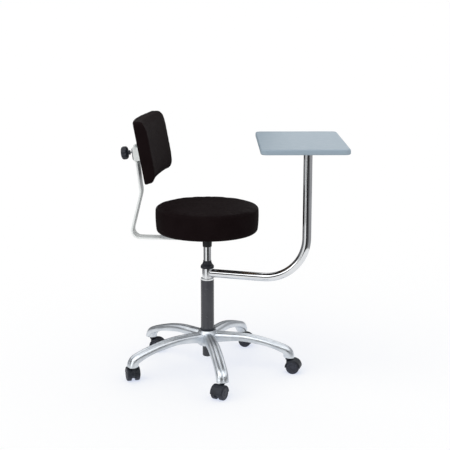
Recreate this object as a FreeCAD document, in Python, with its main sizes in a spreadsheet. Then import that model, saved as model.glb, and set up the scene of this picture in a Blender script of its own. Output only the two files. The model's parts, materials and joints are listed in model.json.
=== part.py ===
"""Physician stool with a laptop desk.

A five-legged cast base on twin-wheel casters carries a column with a gas lift inside.
The round seat and its backrest ride on the lift, and a bent tube arm that turns on the
column's neck carries a small desk. Millimetres, +Z up, the seat faces +X, and the origin
is on the floor under the column.
"""
import FreeCAD, Part
import os
import re

import Sketcher
from FreeCAD import Placement, Rotation, Vector

LEG_COUNT = 5
KNOB_LOBES = 8
DESK_SCREWS = 4

# Driving sizes, in millimetres and degrees
SIZES = {
    # gaps: turning fits, faces that pass each other, pressed fits
    "slip_gap": 0.06,
    "face_gap": 0.3,
    "press_gap": 0.02,
    # broken edges of turned and headed pieces
    "edge_break": 1,
    # caster wheels
    "wheel_radius": 25,
    "wheel_width": 17,
    "wheel_round": 6,
    "tread_break": 1,
    "dish_radius": 16,
    "dish_hub_radius": 8,
    "dish_depth": 1.3,
    "axle_radius": 3,
    "axle_bury": 13,
    # caster hoods and stems
    "web_thickness": 14,
    "web_gap": 0.5,
    "web_chin": 13,
    "fender_gap": 2,
    "fender_wall": 2.4,
    "fender_round": 5,
    "fender_wrap": 180,
    "caster_trail": 20,
    "neck_radius": 10.5,
    "neck_height": 7,
    "stem_radius": 5,
    "stem_wall": 2,
    "stem_reach": 31,
    "stem_top_radius": 5.5,
    "stem_depth": 30,
    "stem_flange_radius": 9,
    "stem_flange": 1.2,
    # the way each caster trails, one by one from the leg under the seat's front
    "heading_one": -7,
    "heading_two": -12,
    "heading_three": -2,
    "heading_four": 113,
    "heading_five": -112,
    # cast star base
    "caster_circle": 307.5,
    "socket_height": 61,
    "boss_radius": 18,
    "boss_height": 20,
    "leg_setback": 21,
    "leg_width": 44,
    "leg_groove": 2,
    "leg_shoulder": 0.4,
    "leg_fullness": 0.575,
    "leg_wall": 4,
    "hollow_start": 12,
    "hollow_crown": 0.6,
    "web_wall": 3,
    "root_bury": 10,
    "root_height": 112,
    "root_depth": 39,
    "haunch_reach": 65,
    "haunch_height": 117.5,
    "haunch_depth": 32.5,
    "haunch_tilt": 2,
    "knee_share": 0.3,
    "knee_height": 122,
    "knee_depth": 26,
    "knee_tilt": 4,
    "middle_share": 0.6,
    "middle_height": 115,
    "middle_depth": 24,
    "middle_tilt": 13,
    "outer_setback": 34,
    "outer_height": 94.5,
    "outer_depth": 22.5,
    "outer_tilt": 20,
    "tip_setback": 18,
    "tip_height": 80,
    "tip_depth": 28,
    "tip_tilt": 45,
    "foot_depth": 23,
    "hub_radius": 38,
    "hub_bottom": 100,
    "hub_top": 157,
    "hub_slope": 6,
    "ring_wall": 2.2,
    "ring_height": 8,
    # column
    "column_radius": 25,
    "column_wall": 2,
    "column_top": 353,
    "column_taper": 1.8,
    "tail_radius": 19,
    "tail_bottom": 54,
    "tail_floor": 4,
    "tail_break": 2,
    "bush_length": 70,
    "journal_wall": 2.4,
    "washer_radius": 24,
    "washer_height": 6,
    "cap_grip": 13.4,
    "cap_radius": 25,
    "cap_rim": 6,
    "cap_height": 28,
    "cap_waist": 19.5,
    "cap_waist_height": 14,
    "cap_lip": 1.4,
    # gas lift
    "lift_radius": 14,
    "lift_wall": 1.6,
    "lift_bottom": 120,
    "lift_plug": 18,
    "gland_height": 16,
    "rod_radius": 5,
    "rod_end_radius": 4,
    "piston_height": 226,
    "piston_length": 12,
    "bearing_radius": 15,
    "bearing_height": 6,
    "buffer_radius": 10,
    "buffer_height": 5,
    "clip_radius": 8.5,
    "clip_thickness": 2,
    "rod_end_stub": 3,
    "button_radius": 3.5,
    "button_length": 24,
    "button_stand": 6,
    # seat socket, plate and release lever
    "socket_bottom": 480,
    "socket_wall": 3,
    "socket_flare": 2,
    "cone_length": 36,
    "cone_taper": 0.9,
    "slot_width": 15,
    "plate_length": 200,
    "plate_width": 170,
    "plate_corner": 18,
    "plate_thickness": 3,
    "ear_thickness": 3,
    "ear_length": 14,
    "ear_drop": 18,
    "lever_radius": 4.5,
    "lever_pivot": 27,
    "lever_pin_radius": 2,
    "lever_inner": 6,
    "lever_shank": 24,
    "lever_drop": 16,
    "lever_run": 34,
    "lever_bend": 18,
    "lever_length": 158,
    "grip_length": 62,
    "grip_width": 26,
    "grip_thickness": 13,
    "grip_round": 5,
    "bolt_radius": 3,
    "bolt_head_radius": 6,
    "bolt_head": 4.5,
    "bolt_bite": 9,
    "bolt_clear": 0.3,
    "bolt_inset": 16,
    # seat
    "seat_radius": 192,
    "seat_bottom": 540,
    "seat_top": 644,
    "seat_crown": 7,
    "seat_round": 15,
    "seat_tuck": 11,
    "seat_draw": 2.5,
    "seat_barrel": 440,
    "board_radius": 176,
    "board_thickness": 12,
    # back bar and its bracket under the seat
    "bar_width": 50,
    "bar_thickness": 6,
    "bar_drop": 30,
    "bar_front": 104,
    "bar_kink_back": 245,
    "bar_kink_height": 683,
    "bar_lean": 14.3,
    "bar_recline": 7,
    "bar_bend": 29,
    "bar_kink_bend": 60,
    "bar_overrun": 33,
    "bar_bolt_back": 137,
    "bar_bolt_step": 20,
    "hanger_gap": 4,
    "hanger_length": 66,
    "hanger_wall": 3,
    "hanger_flange": 18,
    # backrest
    "clamp_height": 826,
    "clamp_length": 50,
    "clamp_wall": 5,
    "clamp_cheek": 3,
    "clamp_skin": 1,
    "flange_length": 74,
    "flange_width": 92,
    "flange_thickness": 3,
    "flange_corner": 8,
    "flange_inset": 9,
    "cover_length": 43,
    "cover_width": 46,
    "cover_thickness": 4,
    "cover_corner": 6,
    "pad_stand": 29.7,
    "pad_drop": 91,
    "pad_lean": 10.5,
    "pad_height": 230,
    "pad_width": 362,
    "pad_thickness": 50,
    "pad_front_radius": 1200,
    "pad_sag": 20,
    "pad_corner": 18,
    "pad_ease": 42,
    "pad_puff": 22,
    "pad_barrel": 1.7,
    "shell_thickness": 9,
    "shell_margin": 16,
    "shell_corner": 12,
    "tee_screw_radius": 2.5,
    "tee_screw_head": 4.5,
    "tee_screw_length": 9,
    # clamp knob
    "stud_radius": 3.5,
    "stud_rise": 6,
    "stud_gap": 11,
    "knob_radius": 24.5,
    "knob_thickness": 23,
    "knob_round": 8,
    "knob_neck_radius": 8.5,
    "knob_neck": 9,
    "knob_thread": 22,
    "lobe_radius": 9,
    "lobe_bite": 2.6,
    # desk arm
    "arm_angle": -9.3,
    "arm_radius": 15.9,
    "arm_wall": 1.6,
    "arm_bend": 160,
    "post_reach": 379,
    "collar_wall": 2.6,
    "collar_margin": 3.6,
    # desk
    "desk_angle": 8.2,
    "desk_length": 466,
    "desk_depth": 305,
    "desk_thickness": 19,
    "desk_top": 896,
    "desk_corner": 20,
    "desk_round": 5,
    "desk_offset": 27,
    "spigot_radius": 11,
    "spigot_length": 40,
    "post_bush_length": 42,
    "post_bush_rim": 3,
    "desk_flange_radius": 46,
    "desk_flange": 5,
    "desk_neck_radius": 15,
    "desk_neck": 6,
    "screw_radius": 2.2,
    "screw_head_radius": 4.2,
    "screw_head": 2.6,
    "screw_bite": 13,
    "screw_circle": 34,
}

# Sizes worked out from the driving ones
WORKED = {
    "wheel_inner": "web_thickness / 2 + web_gap",
    "wheel_outer": "wheel_inner + wheel_width",
    "fender_inner": "wheel_radius + fender_gap",
    "fender_outer": "fender_inner + fender_wall",
    "hood_top": "socket_height - stem_flange - face_gap",
    "leg_end": "caster_circle - leg_setback",
    "knee_reach": "hub_radius + (leg_end - hub_radius) * knee_share",
    "middle_reach": "hub_radius + (leg_end - hub_radius) * middle_share",
    "outer_reach": "leg_end - outer_setback",
    "tip_reach": "caster_circle - tip_setback",
    "bore_top": "column_radius + press_gap",
    "bore_bottom": "bore_top - column_taper",
    "column_bore": "column_radius - column_wall",
    "tail_bore": "tail_radius - column_wall",
    "lift_bore": "lift_radius - lift_wall",
    "guide_bore": "lift_radius + slip_gap",
    "journal_radius": "guide_bore + journal_wall",
    "washer_top": "column_top + washer_height",
    "collar_bore": "journal_radius + slip_gap",
    "collar_radius": "collar_bore + collar_wall",
    "collar_height": "2 * (arm_radius + collar_margin)",
    "collar_bottom": "washer_top + face_gap",
    "collar_top": "collar_bottom + collar_height",
    "cap_bottom": "collar_top + face_gap",
    "journal_top": "cap_bottom + cap_grip",
    "arm_height": "collar_bottom + collar_height / 2",
    "bearing_bottom": "tail_bottom + tail_floor",
    "bearing_top": "bearing_bottom + bearing_height",
    "lift_top": "socket_bottom + cone_length",
    "cone_end_radius": "lift_radius - cone_taper",
    "button_top": "lift_top + button_stand",
    "lever_height": "button_top + face_gap + lever_radius",
    "plate_bottom": "seat_bottom - plate_thickness",
    "socket_radius": "lift_radius + socket_wall",
    "socket_flare_radius": "socket_radius + socket_flare",
    "bolt_along": "plate_length / 2 - bolt_inset",
    "bolt_across": "plate_width / 2 - bolt_inset",
    "hanger_inner": "bar_width / 2 + hanger_wall",
    "hanger_outer": "hanger_inner + hanger_wall",
    "bar_height": "seat_bottom - bar_drop",
    "hanger_bottom": "bar_height + bar_thickness / 2",
    "hanger_front": "plate_length / 2 + hanger_gap",
    "hanger_bolt_along": "hanger_front + hanger_length / 2",
    "hanger_bolt_across": "hanger_outer + hanger_flange / 2",
    "bar_corner_back": "bar_kink_back + (bar_kink_height - bar_height) * tan(bar_lean)",
    "bar_bend_run": "bar_bend * tan(45 + bar_lean / 2)",
    "bar_kink_run": "bar_kink_bend * tan((bar_lean + bar_recline) / 2)",
    "bar_top": "clamp_height + bar_overrun",
    "bar_rise": "(bar_top - bar_kink_height) / cos(bar_recline)",
    "clamp_back": "bar_kink_back + (clamp_height - bar_kink_height) * tan(bar_recline)",
    "bar_slot": "bar_thickness / 2 + face_gap",
    "clamp_rear": "bar_slot + clamp_wall",
    "cover_rear": "clamp_rear + cover_thickness",
    "knob_front": "cover_rear + stud_gap",
    "pad_twist": "pad_lean - bar_recline",
    "pad_bottom": "clamp_height - pad_drop",
    "pad_back": "clamp_back - pad_stand - pad_drop * tan(pad_lean)",
    "clamp_front": "pad_stand * cos(pad_lean) / cos(pad_twist)",
    "flange_height": "(pad_drop + clamp_front * sin(bar_recline)) / cos(pad_lean)",
    "back_radius": "(pad_width * pad_width / 4 + pad_sag * pad_sag) / (2 * pad_sag)",
    "shell_height": "pad_height - 2 * shell_margin",
    "shell_width": "pad_width - 2 * shell_margin",
    "arm_bore": "arm_radius - arm_wall",
    "desk_bottom": "desk_top - desk_thickness",
    "desk_flange_bottom": "desk_bottom - desk_flange",
    "desk_neck_bottom": "desk_flange_bottom - desk_neck",
    "post_bush_top": "desk_neck_bottom - face_gap",
    "post_top": "post_bush_top - post_bush_rim",
}

# The pad's rounded corners: shares of their radius up from the end, and in from the side
PAD_ROUNDING = [(0, 1), (0.08, 0.61), (0.3, 0.286), (1, 0)]

HEADINGS = ["heading_one", "heading_two", "heading_three", "heading_four", "heading_five"]

doc = FreeCAD.newDocument("PhysicianStool")
sheet = doc.addObject("Spreadsheet::Sheet", "Sizes")
for row, (name, size) in enumerate(SIZES.items(), start=1):
    sheet.set(f"A{row}", name)
    sheet.set(f"B{row}", str(size))
    sheet.setAlias(f"B{row}", name)
doc.recompute()

sub_parts = []


def cells(formula):
    """The formula with each size named by its cell, and worked-out sizes written in full."""
    def swap(match):
        word = match.group(0)
        if word in SIZES:
            return f"Sizes.{word}"
        if word in WORKED:
            return f"({cells(WORKED[word])})"
        return word
    return re.sub(r"[a-z][a-z_]*", swap, formula)


def value(formula):
    """What a formula comes to now."""
    return float(sheet.evalExpression(cells(formula)))


def bind(thing, prop, formula):
    """Tie a property of an object to the sheet."""
    thing.setExpression(prop, cells(formula))


def new_body(label, several=False):
    """An empty sub-part. One made of several separate solids says so."""
    body = doc.addObject("PartDesign::Body", label)
    body.Label = label
    body.AllowCompound = several
    sub_parts.append(body)
    return body


def origin_of(body, role):
    """A plane or axis of the body's own origin."""
    return next(part for part in body.Origin.OriginFeatures if part.Role == role)


def new_sketch(body, plane, shift=("0", "0", "0"), tilt=None):
    """A sketch on an origin plane, moved in that plane's own directions and tilted about its first."""
    sketch = body.newObject("Sketcher::SketchObject", "Sketch")
    sketch.AttachmentSupport = [(origin_of(body, plane), "")]
    sketch.MapMode = "FlatFace"
    if tilt:
        sketch.AttachmentOffset = Placement(Vector(), Rotation(Vector(1, 0, 0), value(tilt)))
        bind(sketch, "AttachmentOffset.Rotation.Angle", tilt)
    for axis, formula in zip("xyz", shift):
        if formula != "0":
            bind(sketch, f"AttachmentOffset.Base.{axis}", formula)
    return sketch


def pin_point(sketch, edge, end, x, y):
    """Tie one end of an edge to its place from the sketch's origin."""
    for kind, axis, formula in (("DistanceX", -2, x), ("DistanceY", -1, y)):
        if formula == "0":
            sketch.addConstraint(Sketcher.Constraint("PointOnObject", edge, end, axis))
        else:
            rule = Sketcher.Constraint(kind, -1, 1, edge, end, value(formula))
            bind(sketch, f"Constraints[{sketch.addConstraint(rule)}]", formula)


def add_edge(sketch, start, end, radius, bulge):
    """A line, or an arc that bulges right (1) or left (-1) of the way. Returns it and its two ends."""
    if radius is None:
        return sketch.addGeometry(Part.LineSegment(start, end), False), 1, 2
    chord = end - start
    size = value(radius)
    right = Vector(chord.y, -chord.x, 0).normalize()
    depth = (size ** 2 - (chord.Length / 2) ** 2) ** 0.5
    centre = (start + end) / 2 - right * bulge * depth
    circle = Part.Circle(centre, Vector(0, 0, 1), size)
    first, last = (start, end) if bulge > 0 else (end, start)
    arc = Part.ArcOfCircle(circle, circle.parameter(first), circle.parameter(last))
    edge = sketch.addGeometry(arc, False)
    rule = Sketcher.Constraint("Radius", edge, size)
    bind(sketch, f"Constraints[{sketch.addConstraint(rule)}]", radius)
    return (edge, 1, 2) if bulge > 0 else (edge, 2, 1)


def draw(sketch, points, closed=True):
    """Draw an outline. A point is (x, y), or (x, y, radius, bulge) where an arc leaves it."""
    places = [Vector(value(point[0]), value(point[1]), 0) for point in points]
    count = len(points) if closed else len(points) - 1
    edges = []
    for i in range(count):
        radius, bulge = points[i][2:] if len(points[i]) > 2 else (None, 0)
        edges.append(add_edge(sketch, places[i], places[(i + 1) % len(points)], radius, bulge))
    for i, (edge, start, end) in enumerate(edges):
        pin_point(sketch, edge, start, *points[i][:2])
        if closed or i + 1 < count:
            other, other_start, _ = edges[(i + 1) % count]
            sketch.addConstraint(Sketcher.Constraint("Coincident", edge, end, other, other_start))
        else:
            pin_point(sketch, edge, end, *points[-1][:2])


def draw_circle(sketch, x, y, radius):
    """Draw a circle with its centre and radius tied to the sheet."""
    place = Vector(value(x), value(y), 0)
    edge = sketch.addGeometry(Part.Circle(place, Vector(0, 0, 1), value(radius)), False)
    pin_point(sketch, edge, 3, x, y)
    rule = Sketcher.Constraint("Radius", edge, value(radius))
    bind(sketch, f"Constraints[{sketch.addConstraint(rule)}]", radius)


def rectangle(x_low, x_high, y_low, y_high):
    """The corners of an upright rectangle."""
    return [(x_low, y_low), (x_high, y_low), (x_high, y_high), (x_low, y_high)]


def rounded(x_half, y_half, corner):
    """The outline of a centred rectangle with round corners."""
    x_in, y_in = f"({x_half} - {corner})", f"({y_half} - {corner})"
    return [
        (f"-{x_in}", f"-({y_half})"),
        (x_in, f"-({y_half})", corner, 1),
        (x_half, f"-{y_in}"),
        (x_half, y_in, corner, 1),
        (x_in, y_half),
        (f"-{x_in}", y_half, corner, 1),
        (f"-({x_half})", y_in),
        (f"-({x_half})", f"-{y_in}", corner, 1),
    ]


def pad(body, sketch, length, middle=False, kind="Pad", back=False):
    """Push a sketch out as a Pad, or cut it in as a Pocket."""
    feature = body.newObject(f"PartDesign::{kind}", kind)
    feature.Profile = sketch
    feature.Midplane = middle
    feature.Reversed = back
    bind(feature, "Length", length)
    return feature


def revolve(body, sketch, angle="360", axis="V_Axis", kind="Revolution"):
    """Turn a sketch about one of its own axes."""
    feature = body.newObject(f"PartDesign::{kind}", kind)
    feature.Profile = sketch
    feature.ReferenceAxis = (sketch, [axis])
    bind(feature, "Angle", angle)
    return feature


def turned(label, points):
    """A sub-part turned about the column's axis, or about its own upright axis once placed."""
    body = new_body(label)
    sketch = new_sketch(body, "XZ_Plane")
    draw(sketch, points)
    revolve(body, sketch)
    return body


def sweep(body, profile, path):
    """Sweep a sketch along another."""
    feature = body.newObject("PartDesign::AdditivePipe", "Pipe")
    feature.Profile = profile
    feature.Spine = path
    return feature


def loft(body, sections, kind="AdditiveLoft"):
    """Loft through sketches, in order."""
    feature = body.newObject(f"PartDesign::{kind}", kind)
    feature.Profile = sections[0]
    feature.Sections = sections[1:]
    return feature


def around(body, features, count):
    """Repeat features evenly about the body's own upright axis."""
    pattern = body.newObject("PartDesign::PolarPattern", "Pattern")
    pattern.Originals = features
    pattern.Axis = (origin_of(body, "Z_Axis"), [""])
    pattern.Angle = 360
    pattern.Occurrences = count
    body.Tip = pattern
    return pattern


def fillet(body, feature, radius, wanted):
    """Round the edges of a feature that a test picks out."""
    doc.recompute()
    names = [f"Edge{i}" for i, edge in enumerate(feature.Shape.Edges, start=1) if wanted(edge)]
    blend = body.newObject("PartDesign::Fillet", "Fillet")
    blend.Base = (feature, names)
    bind(blend, "Radius", radius)
    return blend


def place(body, x, y, z, turn=None, axis=Vector(0, 0, 1)):
    """Put a body where formulas say, turned about one axis."""
    if turn:
        body.Placement = Placement(Vector(), Rotation(axis, value(turn) or 1))
        bind(body, "Placement.Rotation.Angle", turn)
    for name, formula in zip("xyz", (x, y, z)):
        if formula != "0":
            bind(body, f"Placement.Base.{name}", formula)


# The star base and what is fixed to it


def leg_section(body, reach, height, tilt, depth):
    """One station of a leg: flat below, with two rounded lobes and a groove between them above."""
    half = "leg_width / 2"
    lobe = f"leg_fullness * sqrt(leg_width ^ 2 / 4 + ({depth} * (1 - leg_shoulder) - leg_groove) ^ 2)"
    sketch = new_sketch(body, "YZ_Plane", ("0", height, reach), tilt)
    draw(sketch, [
        (f"-{half}", "0"),
        (half, "0"),
        (half, f"{depth} * leg_shoulder", lobe, 1),
        ("0", f"{depth} - leg_groove", lobe, 1),
        (f"-{half}", f"{depth} * leg_shoulder"),
    ])
    return sketch


def leg_hollow(body, side, reach, height, tilt, depth):
    """One station of the hollow under a leg, on one side (1 or -1) of the web down its middle."""
    web = f"{side} * web_wall / 2"
    wall = f"{side} * (leg_width / 2 - leg_wall)"
    crown = f"({depth} - leg_groove - leg_wall)"
    sketch = new_sketch(body, "YZ_Plane", ("0", height, reach), tilt)
    draw(sketch, [
        (web, "-leg_wall"),
        (wall, "-leg_wall"),
        (wall, f"{depth} * leg_shoulder - leg_wall / 2"),
        (f"{wall} * hollow_crown", crown),
        (web, crown),
    ])
    return sketch


LEG_STATIONS = [
    ("knee_reach", "knee_height", "knee_tilt", "knee_depth"),
    ("middle_reach", "middle_height", "middle_tilt", "middle_depth"),
    ("outer_reach", "outer_height", "outer_tilt", "outer_depth"),
]
ROOT_STATIONS = [
    ("hub_radius - root_bury", "root_height", None, "root_depth"),
    ("haunch_reach", "haunch_height", "haunch_tilt", "haunch_depth"),
]
TIP_STATIONS = [
    ("tip_reach", "tip_height", "tip_tilt", "tip_depth"),
    ("caster_circle", "socket_height", "90", "foot_depth"),
]
HOLLOW_STATIONS = [
    ("hub_radius + hollow_start", "root_height", None, "knee_depth"),
    ("haunch_reach", "haunch_height", "haunch_tilt", "knee_depth"),
]


def star_base():
    """Hub and five arched legs, hollow and webbed below, each turned down into a caster socket."""
    body = new_body("star_base")
    hub = new_sketch(body, "XZ_Plane")
    draw(hub, [
        ("bore_bottom", "hub_bottom"),
        ("hub_radius - hub_slope / 2", "hub_bottom"),
        ("hub_radius", "hub_bottom + hub_slope / 2"),
        ("hub_radius", "hub_top - 2 * hub_slope"),
        ("hub_radius - hub_slope", "hub_top"),
        ("bore_top", "hub_top"),
    ])
    revolve(body, hub)
    stations = ROOT_STATIONS + LEG_STATIONS + TIP_STATIONS
    features = [loft(body, [leg_section(body, *station) for station in stations])]
    for side in (1, -1):
        sections = [leg_hollow(body, side, *station) for station in HOLLOW_STATIONS + LEG_STATIONS]
        features.append(loft(body, sections, "SubtractiveLoft"))
    boss = new_sketch(body, "XY_Plane", ("0", "0", "socket_height"))
    draw_circle(boss, "caster_circle", "0", "boss_radius")
    features.append(pad(body, boss, "boss_height"))
    socket = new_sketch(body, "XY_Plane", ("0", "0", "socket_height"))
    draw_circle(socket, "caster_circle", "0", "stem_top_radius + press_gap")
    features.append(pad(body, socket, "stem_depth + face_gap", kind="Pocket", back=True))
    around(body, features, LEG_COUNT)


def caster_stems():
    """Five steel stems, pressed into the base's sockets, each with a flange over its caster."""
    body = new_body("caster_stems", several=True)
    sketch = new_sketch(body, "XZ_Plane", ("caster_circle", "0", "0"))
    draw(sketch, [
        ("0", "hood_top - stem_reach"),
        ("stem_radius", "hood_top - stem_reach"),
        ("stem_radius", "hood_top + face_gap"),
        ("stem_flange_radius", "hood_top + face_gap"),
        ("stem_flange_radius", "socket_height"),
        ("stem_top_radius", "socket_height"),
        ("stem_top_radius", "socket_height + stem_depth"),
        ("0", "socket_height + stem_depth"),
    ])
    around(body, [revolve(body, sketch)], LEG_COUNT)


def column():
    """The column tube with its closed tail, and the trim ring where it enters the hub."""
    turned("column_tube", [
        ("rod_end_radius + slip_gap", "tail_bottom"),
        ("tail_radius - tail_break", "tail_bottom"),
        ("tail_radius", "tail_bottom + tail_break"),
        ("tail_radius", "hub_bottom - tail_break"),
        ("column_radius - column_taper", "hub_bottom"),
        ("column_radius", "hub_top"),
        ("column_radius", "column_top"),
        ("column_bore", "column_top"),
        ("column_bore", "hub_top"),
        ("tail_bore", "hub_bottom"),
        ("tail_bore", "bearing_bottom"),
        ("rod_end_radius + slip_gap", "bearing_bottom"),
    ])
    turned("hub_ring", [
        ("column_radius + press_gap", "hub_top"),
        ("column_radius + ring_wall", "hub_top"),
        ("column_radius + ring_wall", "hub_top + ring_height - ring_wall"),
        ("column_radius + press_gap", "hub_top + ring_height"),
    ])
    turned("guide_bush", [
        ("guide_bore", "column_top - bush_length"),
        ("column_bore - press_gap", "column_top - bush_length"),
        ("column_bore - press_gap", "column_top"),
        ("journal_radius", "column_top"),
        ("journal_radius", "journal_top"),
        ("guide_bore", "journal_top"),
    ])
    turned("collar_washer", [
        ("journal_radius + press_gap", "column_top"),
        ("washer_radius", "column_top"),
        ("washer_radius", "washer_top - edge_break"),
        ("washer_radius - edge_break", "washer_top"),
        ("journal_radius + press_gap", "washer_top"),
    ])
    turned("column_cap", [
        ("journal_radius + press_gap", "cap_bottom"),
        ("cap_radius", "cap_bottom"),
        ("cap_radius", "cap_bottom + cap_rim", "cap_radius / 2", 1),
        ("cap_waist", "cap_bottom + cap_waist_height", "cap_radius", -1),
        ("guide_bore + cap_lip", "cap_bottom + cap_height"),
        ("guide_bore + face_gap", "cap_bottom + cap_height"),
        ("guide_bore + face_gap", "journal_top"),
        ("journal_radius + press_gap", "journal_top"),
    ])
    turned("thrust_bearing", [
        ("rod_end_radius + slip_gap", "bearing_bottom"),
        ("bearing_radius", "bearing_bottom"),
        ("bearing_radius", "bearing_top"),
        ("rod_end_radius + slip_gap", "bearing_top"),
    ])


# The gas lift


def gas_lift():
    """Piston rod, clip and buffer that turn in the column, and the pressure tube that slides on them."""
    clip_top = "tail_bottom - face_gap"
    clip_bottom = f"{clip_top} - clip_thickness"
    turned("piston_rod", [
        ("0", f"{clip_bottom} - rod_end_stub"),
        ("rod_end_radius", f"{clip_bottom} - rod_end_stub"),
        ("rod_end_radius", "bearing_top + face_gap"),
        ("rod_radius", "bearing_top + face_gap"),
        ("rod_radius", "piston_height"),
        ("lift_bore - slip_gap", "piston_height"),
        ("lift_bore - slip_gap", "piston_height + piston_length"),
        ("0", "piston_height + piston_length"),
    ])
    turned("rod_clip", [
        ("rod_end_radius + press_gap", clip_bottom),
        ("clip_radius", clip_bottom),
        ("clip_radius", clip_top),
        ("rod_end_radius + press_gap", clip_top),
    ])
    turned("lift_buffer", [
        ("rod_radius + press_gap", "bearing_top + face_gap"),
        ("buffer_radius", "bearing_top + face_gap"),
        ("buffer_radius", "bearing_top + buffer_height"),
        ("rod_radius + press_gap", "bearing_top + buffer_height"),
    ])
    turned("pressure_tube", [
        ("lift_bore", "lift_bottom"),
        ("lift_radius", "lift_bottom"),
        ("lift_radius", "socket_bottom"),
        ("cone_end_radius", "lift_top"),
        ("button_radius + slip_gap", "lift_top"),
        ("button_radius + slip_gap", "lift_top - lift_plug"),
        ("lift_bore", "lift_top - lift_plug"),
    ])
    turned("rod_gland", [
        ("rod_radius + slip_gap", "lift_bottom"),
        ("lift_bore - press_gap", "lift_bottom"),
        ("lift_bore - press_gap", "lift_bottom + gland_height"),
        ("rod_radius + slip_gap", "lift_bottom + gland_height"),
    ])
    turned("release_button", [
        ("0", "button_top - button_length"),
        ("button_radius", "button_top - button_length"),
        ("button_radius", "button_top - edge_break"),
        ("button_radius - edge_break", "button_top"),
        ("0", "button_top"),
    ])


# The seat and the release lever


def seat_socket():
    """The tapered socket under the seat, slotted across for the release lever."""
    body = turned("seat_socket", [
        ("lift_radius + press_gap", "socket_bottom"),
        ("socket_radius - edge_break", "socket_bottom"),
        ("socket_radius", "socket_bottom + edge_break"),
        ("socket_flare_radius", "plate_bottom"),
        ("lift_radius + press_gap", "plate_bottom"),
        ("lift_radius + press_gap", "lift_top"),
        ("cone_end_radius + press_gap", "lift_top"),
    ])
    slot = new_sketch(body, "XZ_Plane")
    low = "lift_top + face_gap"
    draw(slot, rectangle("-slot_width / 2", "slot_width / 2", low, "plate_bottom + edge_break"))
    pad(body, slot, "3 * socket_flare_radius", middle=True, kind="Pocket")


def plate_holes(body, spots, radius, length):
    """Holes for the bolts that hold steel to the seat board, from the board's underside."""
    for x, y in spots:
        sketch = new_sketch(body, "XY_Plane", ("0", "0", "seat_bottom"))
        draw_circle(sketch, x, y, radius)
        pad(body, sketch, length, kind="Pocket", middle=True)


PLATE_SPOTS = [(f"{i} * bolt_along", f"{j} * bolt_across") for i in (-1, 1) for j in (-1, 1)]
HANGER_SPOTS = [("-hanger_bolt_along", f"{j} * hanger_bolt_across") for j in (-1, 1)]
BAR_SPOTS = [("-bar_bolt_back", "0"), ("-(bar_bolt_back + bar_bolt_step)", "0")]


def seat_plate():
    """The steel plate on the socket, with two ears that carry the lever's pin."""
    body = new_body("seat_plate")
    sketch = new_sketch(body, "XY_Plane", ("0", "0", "plate_bottom"))
    draw(sketch, rounded("plate_length / 2", "plate_width / 2", "plate_corner"))
    pad(body, sketch, "plate_thickness")
    ear_inner = "(lever_radius + face_gap)"
    for side in ("", "-"):
        ear = new_sketch(body, "YZ_Plane", ("0", "0", f"{side}({ear_inner} + ear_thickness / 2)"))
        draw(ear, rectangle(
            "lever_pivot - ear_length / 2", "lever_pivot + ear_length / 2",
            "plate_bottom - ear_drop", "plate_bottom + plate_thickness / 2",
        ))
        pad(body, ear, "ear_thickness", middle=True)
    pivot = new_sketch(body, "YZ_Plane")
    draw_circle(pivot, "lever_pivot", "lever_height", "lever_pin_radius + press_gap")
    pad(body, pivot, "6 * lever_radius", middle=True, kind="Pocket")
    plate_holes(body, PLATE_SPOTS, "bolt_radius + bolt_clear", "4 * plate_thickness")


def add_bolts(body, spots, under, top):
    """Hex-size bolts with round heads, pointing up."""
    for x, y in spots:
        sketch = new_sketch(body, "XZ_Plane", (x, "0", f"-({y})"))
        draw(sketch, [
            ("0", f"{under} - bolt_head"),
            ("bolt_head_radius - edge_break", f"{under} - bolt_head"),
            ("bolt_head_radius", f"{under} - bolt_head + edge_break"),
            ("bolt_head_radius", under),
            ("bolt_radius", under),
            ("bolt_radius", top),
            ("0", top),
        ])
        revolve(body, sketch)


def seat_group():
    """The seat's plywood board and cushion, and the bolts that hold the steel to the board."""
    body = turned("seat_board", [
        ("0", "seat_bottom"),
        ("board_radius", "seat_bottom"),
        ("board_radius", "seat_bottom + board_thickness"),
        ("0", "seat_bottom + board_thickness"),
    ])
    plate_holes(body, PLATE_SPOTS + HANGER_SPOTS, "bolt_radius + press_gap", "2 * (bolt_bite + face_gap)")
    bolts = new_body("plate_bolts", several=True)
    add_bolts(bolts, PLATE_SPOTS, "plate_bottom", "seat_bottom + bolt_bite")
    add_bolts(bolts, HANGER_SPOTS, "(seat_bottom - hanger_wall)", "seat_bottom + bolt_bite")
    side = "(seat_radius - seat_draw)"
    shoulder = "(seat_top - seat_crown - seat_round)"
    crown_radius = "((seat_radius - seat_round) ^ 2 + seat_crown ^ 2) / (2 * seat_crown)"
    turned("seat_cushion", [
        ("0", "seat_bottom + board_thickness + face_gap"),
        ("board_radius + face_gap", "seat_bottom + board_thickness + face_gap"),
        ("board_radius + face_gap", "seat_bottom"),
        (f"{side} - seat_tuck", "seat_bottom", "seat_tuck", 1),
        (side, "seat_bottom + seat_tuck", "seat_barrel", 1),
        ("seat_radius", shoulder, "seat_round", 1),
        ("seat_radius - seat_round", "seat_top - seat_crown", crown_radius, 1),
        ("0", "seat_top"),
    ])


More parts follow.
